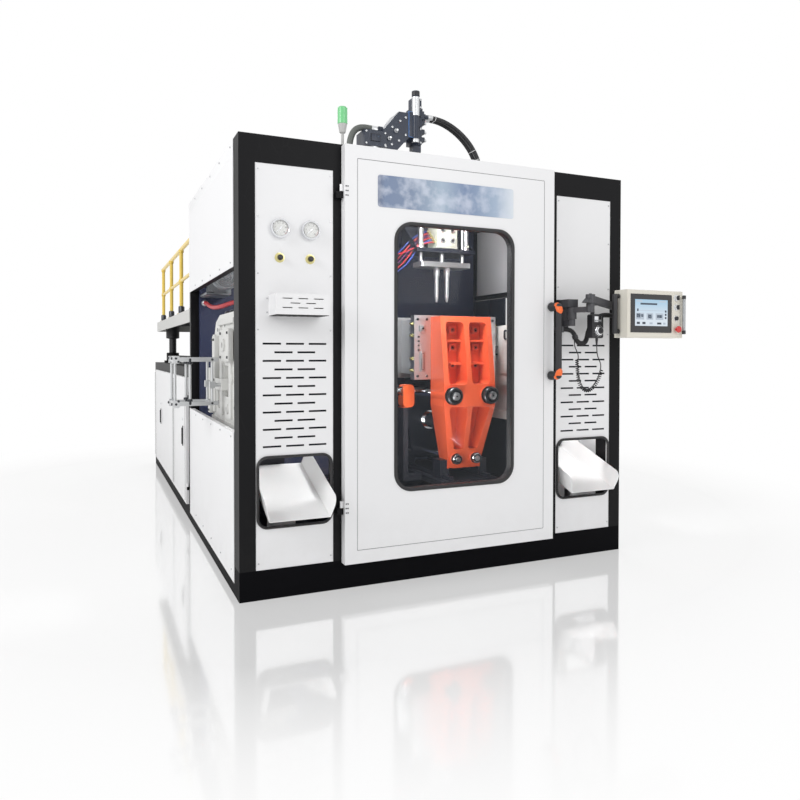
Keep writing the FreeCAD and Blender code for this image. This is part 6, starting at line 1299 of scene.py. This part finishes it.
# %% Valve set
PLATE_BLUE = finish("valve_plate_blue", (0.09, 0.25, 0.62), 0.34, spread=0.15, bump=0.06)
STACK_X, STACK_AXIS = 1403, (1423, 920, CYLINDER_TOP)
block((1366, 912, 2798), (STACK_X, 1054, 2978), 3, 1)
turned(collar(24.4, 26, 248, 382), STACK_AXIS, UP, 28, 2)
turned(collar(24.4, 25.5, 60, 86), STACK_AXIS, UP, 28, 2)
turned(knob(20, 28.6, 421, 414, 388), STACK_AXIS, UP, 28, 3)
screw(grid((1413, 1471), 940, (2776, 2872, 2966, 3010)), FRONT, 6.5, 2)
screw(grid((1417, 1475), 954, (3032, 3084)), FRONT, 6.5, 2)
screw([(1190, 915, 2712), (1236, 915, 2730), (1290, 915, 2762), (1342, 915, 2808), (1342, 915, 2930),
       (1300, 915, 2900), (1240, 915, 2850)], FRONT, 8, 2)
screw(grid((1045, 1185), 910, (2718, 2798)), FRONT, 7, 2)
block((1080, 902, 2735), (1150, 911, 2785), 3, 3)
turned([(0, 34), (8, 34), (11, 30), (11, 16), (15, 14), (15, 0)],
       [(1266, 915, 2826), (1216, 915, 2768)], FRONT, 6, 2)
for z in (2807, 2863, 2929):
    block((1486, 955, z - 17), (1512, 1000, z + 17), 3, 3)
turned(knob(8, 11, 20, 14), grid(1512, 978, (2807, 2863, 2929)), RIGHT, 14, 2)
block((1404, 930, 2884), (1480, 941, 2952), 3)
block((1410, 928, 2962), (1476, 941, 3012), 3, 3)
turned([(22.6, 2), (25.4, 4), (25.4, 40), (22.6, 44)], (1155, 990, 2840), (-1, 0, 0.06), 28, 2)
turned([(15.4, 0), (17.6, 2), (17.6, 34), (15.4, 38)],
       grid(PORT_X, (PARTING_Y - PAIR_HALF, PARTING_Y + PAIR_HALF), PORT_Z), RIGHT, 24, 2)
block((1300, 1064, 2830), (1370, 1068, 2900), 2, 2)
turned([(0, 26), (14, 26), (14, 6), (20, 4), (20, 0)], grid((1060, 1170), 1070, 2758), BACK, 6, 2)
finished("valve_details", [VALVE, PLATE_BLUE, ALUMINIUM, PLASTIC], "extruder")

# %% Extruder's motor
EXTRUDER_Z, MOTOR_END, BARREL_END = 2000, 4110, 2860
turned(collar(160, 178, 0, 7, 1), grid(HEAD_X, range(3566, 3919, 22), EXTRUDER_Z), BACK, 48)
turned([(0, 0), (30, 0), (34, 6), (140, 6), (150, 0)], (HEAD_X, MOTOR_END, EXTRUDER_Z), BACK, 40, 1)
for ring in range(6):
    radius = 44 + 16 * ring
    turned([(radius, 6), (radius + 2, 10), (radius + 7, 10), (radius + 9, 6)],
           (HEAD_X, MOTOR_END, EXTRUDER_Z), BACK, 40, 1)
screw([(HEAD_X + 178 * math.cos(angle), 3470, EXTRUDER_Z + 178 * math.sin(angle))
       for angle in round_about(12)], FRONT, 7, 1)
screw(grid((925, 1305), 3060, (1650, 1930, 2205)), FRONT, 11, 1)
turned(knob(22, 26, 6, 2), (900, 3180, 1900), LEFT, 28, 1)
turned(disc(16, 7, 6), (900, 3180, 1900), LEFT, 28, 2)
block((1226, 3696, 2126), (1334, 3856, 2214), 6, 1)
finished("drive_details", [BLUE, STEEL, DIAL], "extruder")

# %% Barrel and hopper
BANDS, BAND_FIRST, BAND_REACH = 7, 1162, 1598
for band in range(BANDS):
    y = BAND_FIRST + BAND_REACH * band / BANDS
    for clamp_y in (y + 24, y + 141):
        turned(collar(84, 86.5, -6, 6, 1), (HEAD_X, clamp_y, EXTRUDER_Z), BACK, 40)
        block((1100, clamp_y - 8, 1900), (1130, clamp_y + 8, 1917), 2, 1)
    block((1080, y + 60, 2078), (1150, y + 108, 2112), 4, 2)
screw([(HEAD_X + 49 * math.cos(angle), BARREL_END + 49 * math.sin(angle), 2110)
       for angle in round_about(8, 0.5)], UP, 5, 1)
turned([(249, 0), (262, 2), (264, 8), (262, 14), (249, 16)], (HEAD_X, BARREL_END, 2776), UP, 64, 3)
block((1080, 2604, 2560), (1150, 2620, 2720), 4, 2)
block((1092, 2600, 2576), (1138, 2606, 2704), 2, 4)
finished("barrel_details", [SHEET, DARK_STEEL, ARM_GREY, STEEL, DIAL], "extruder")
print("roof and extruder dressed")
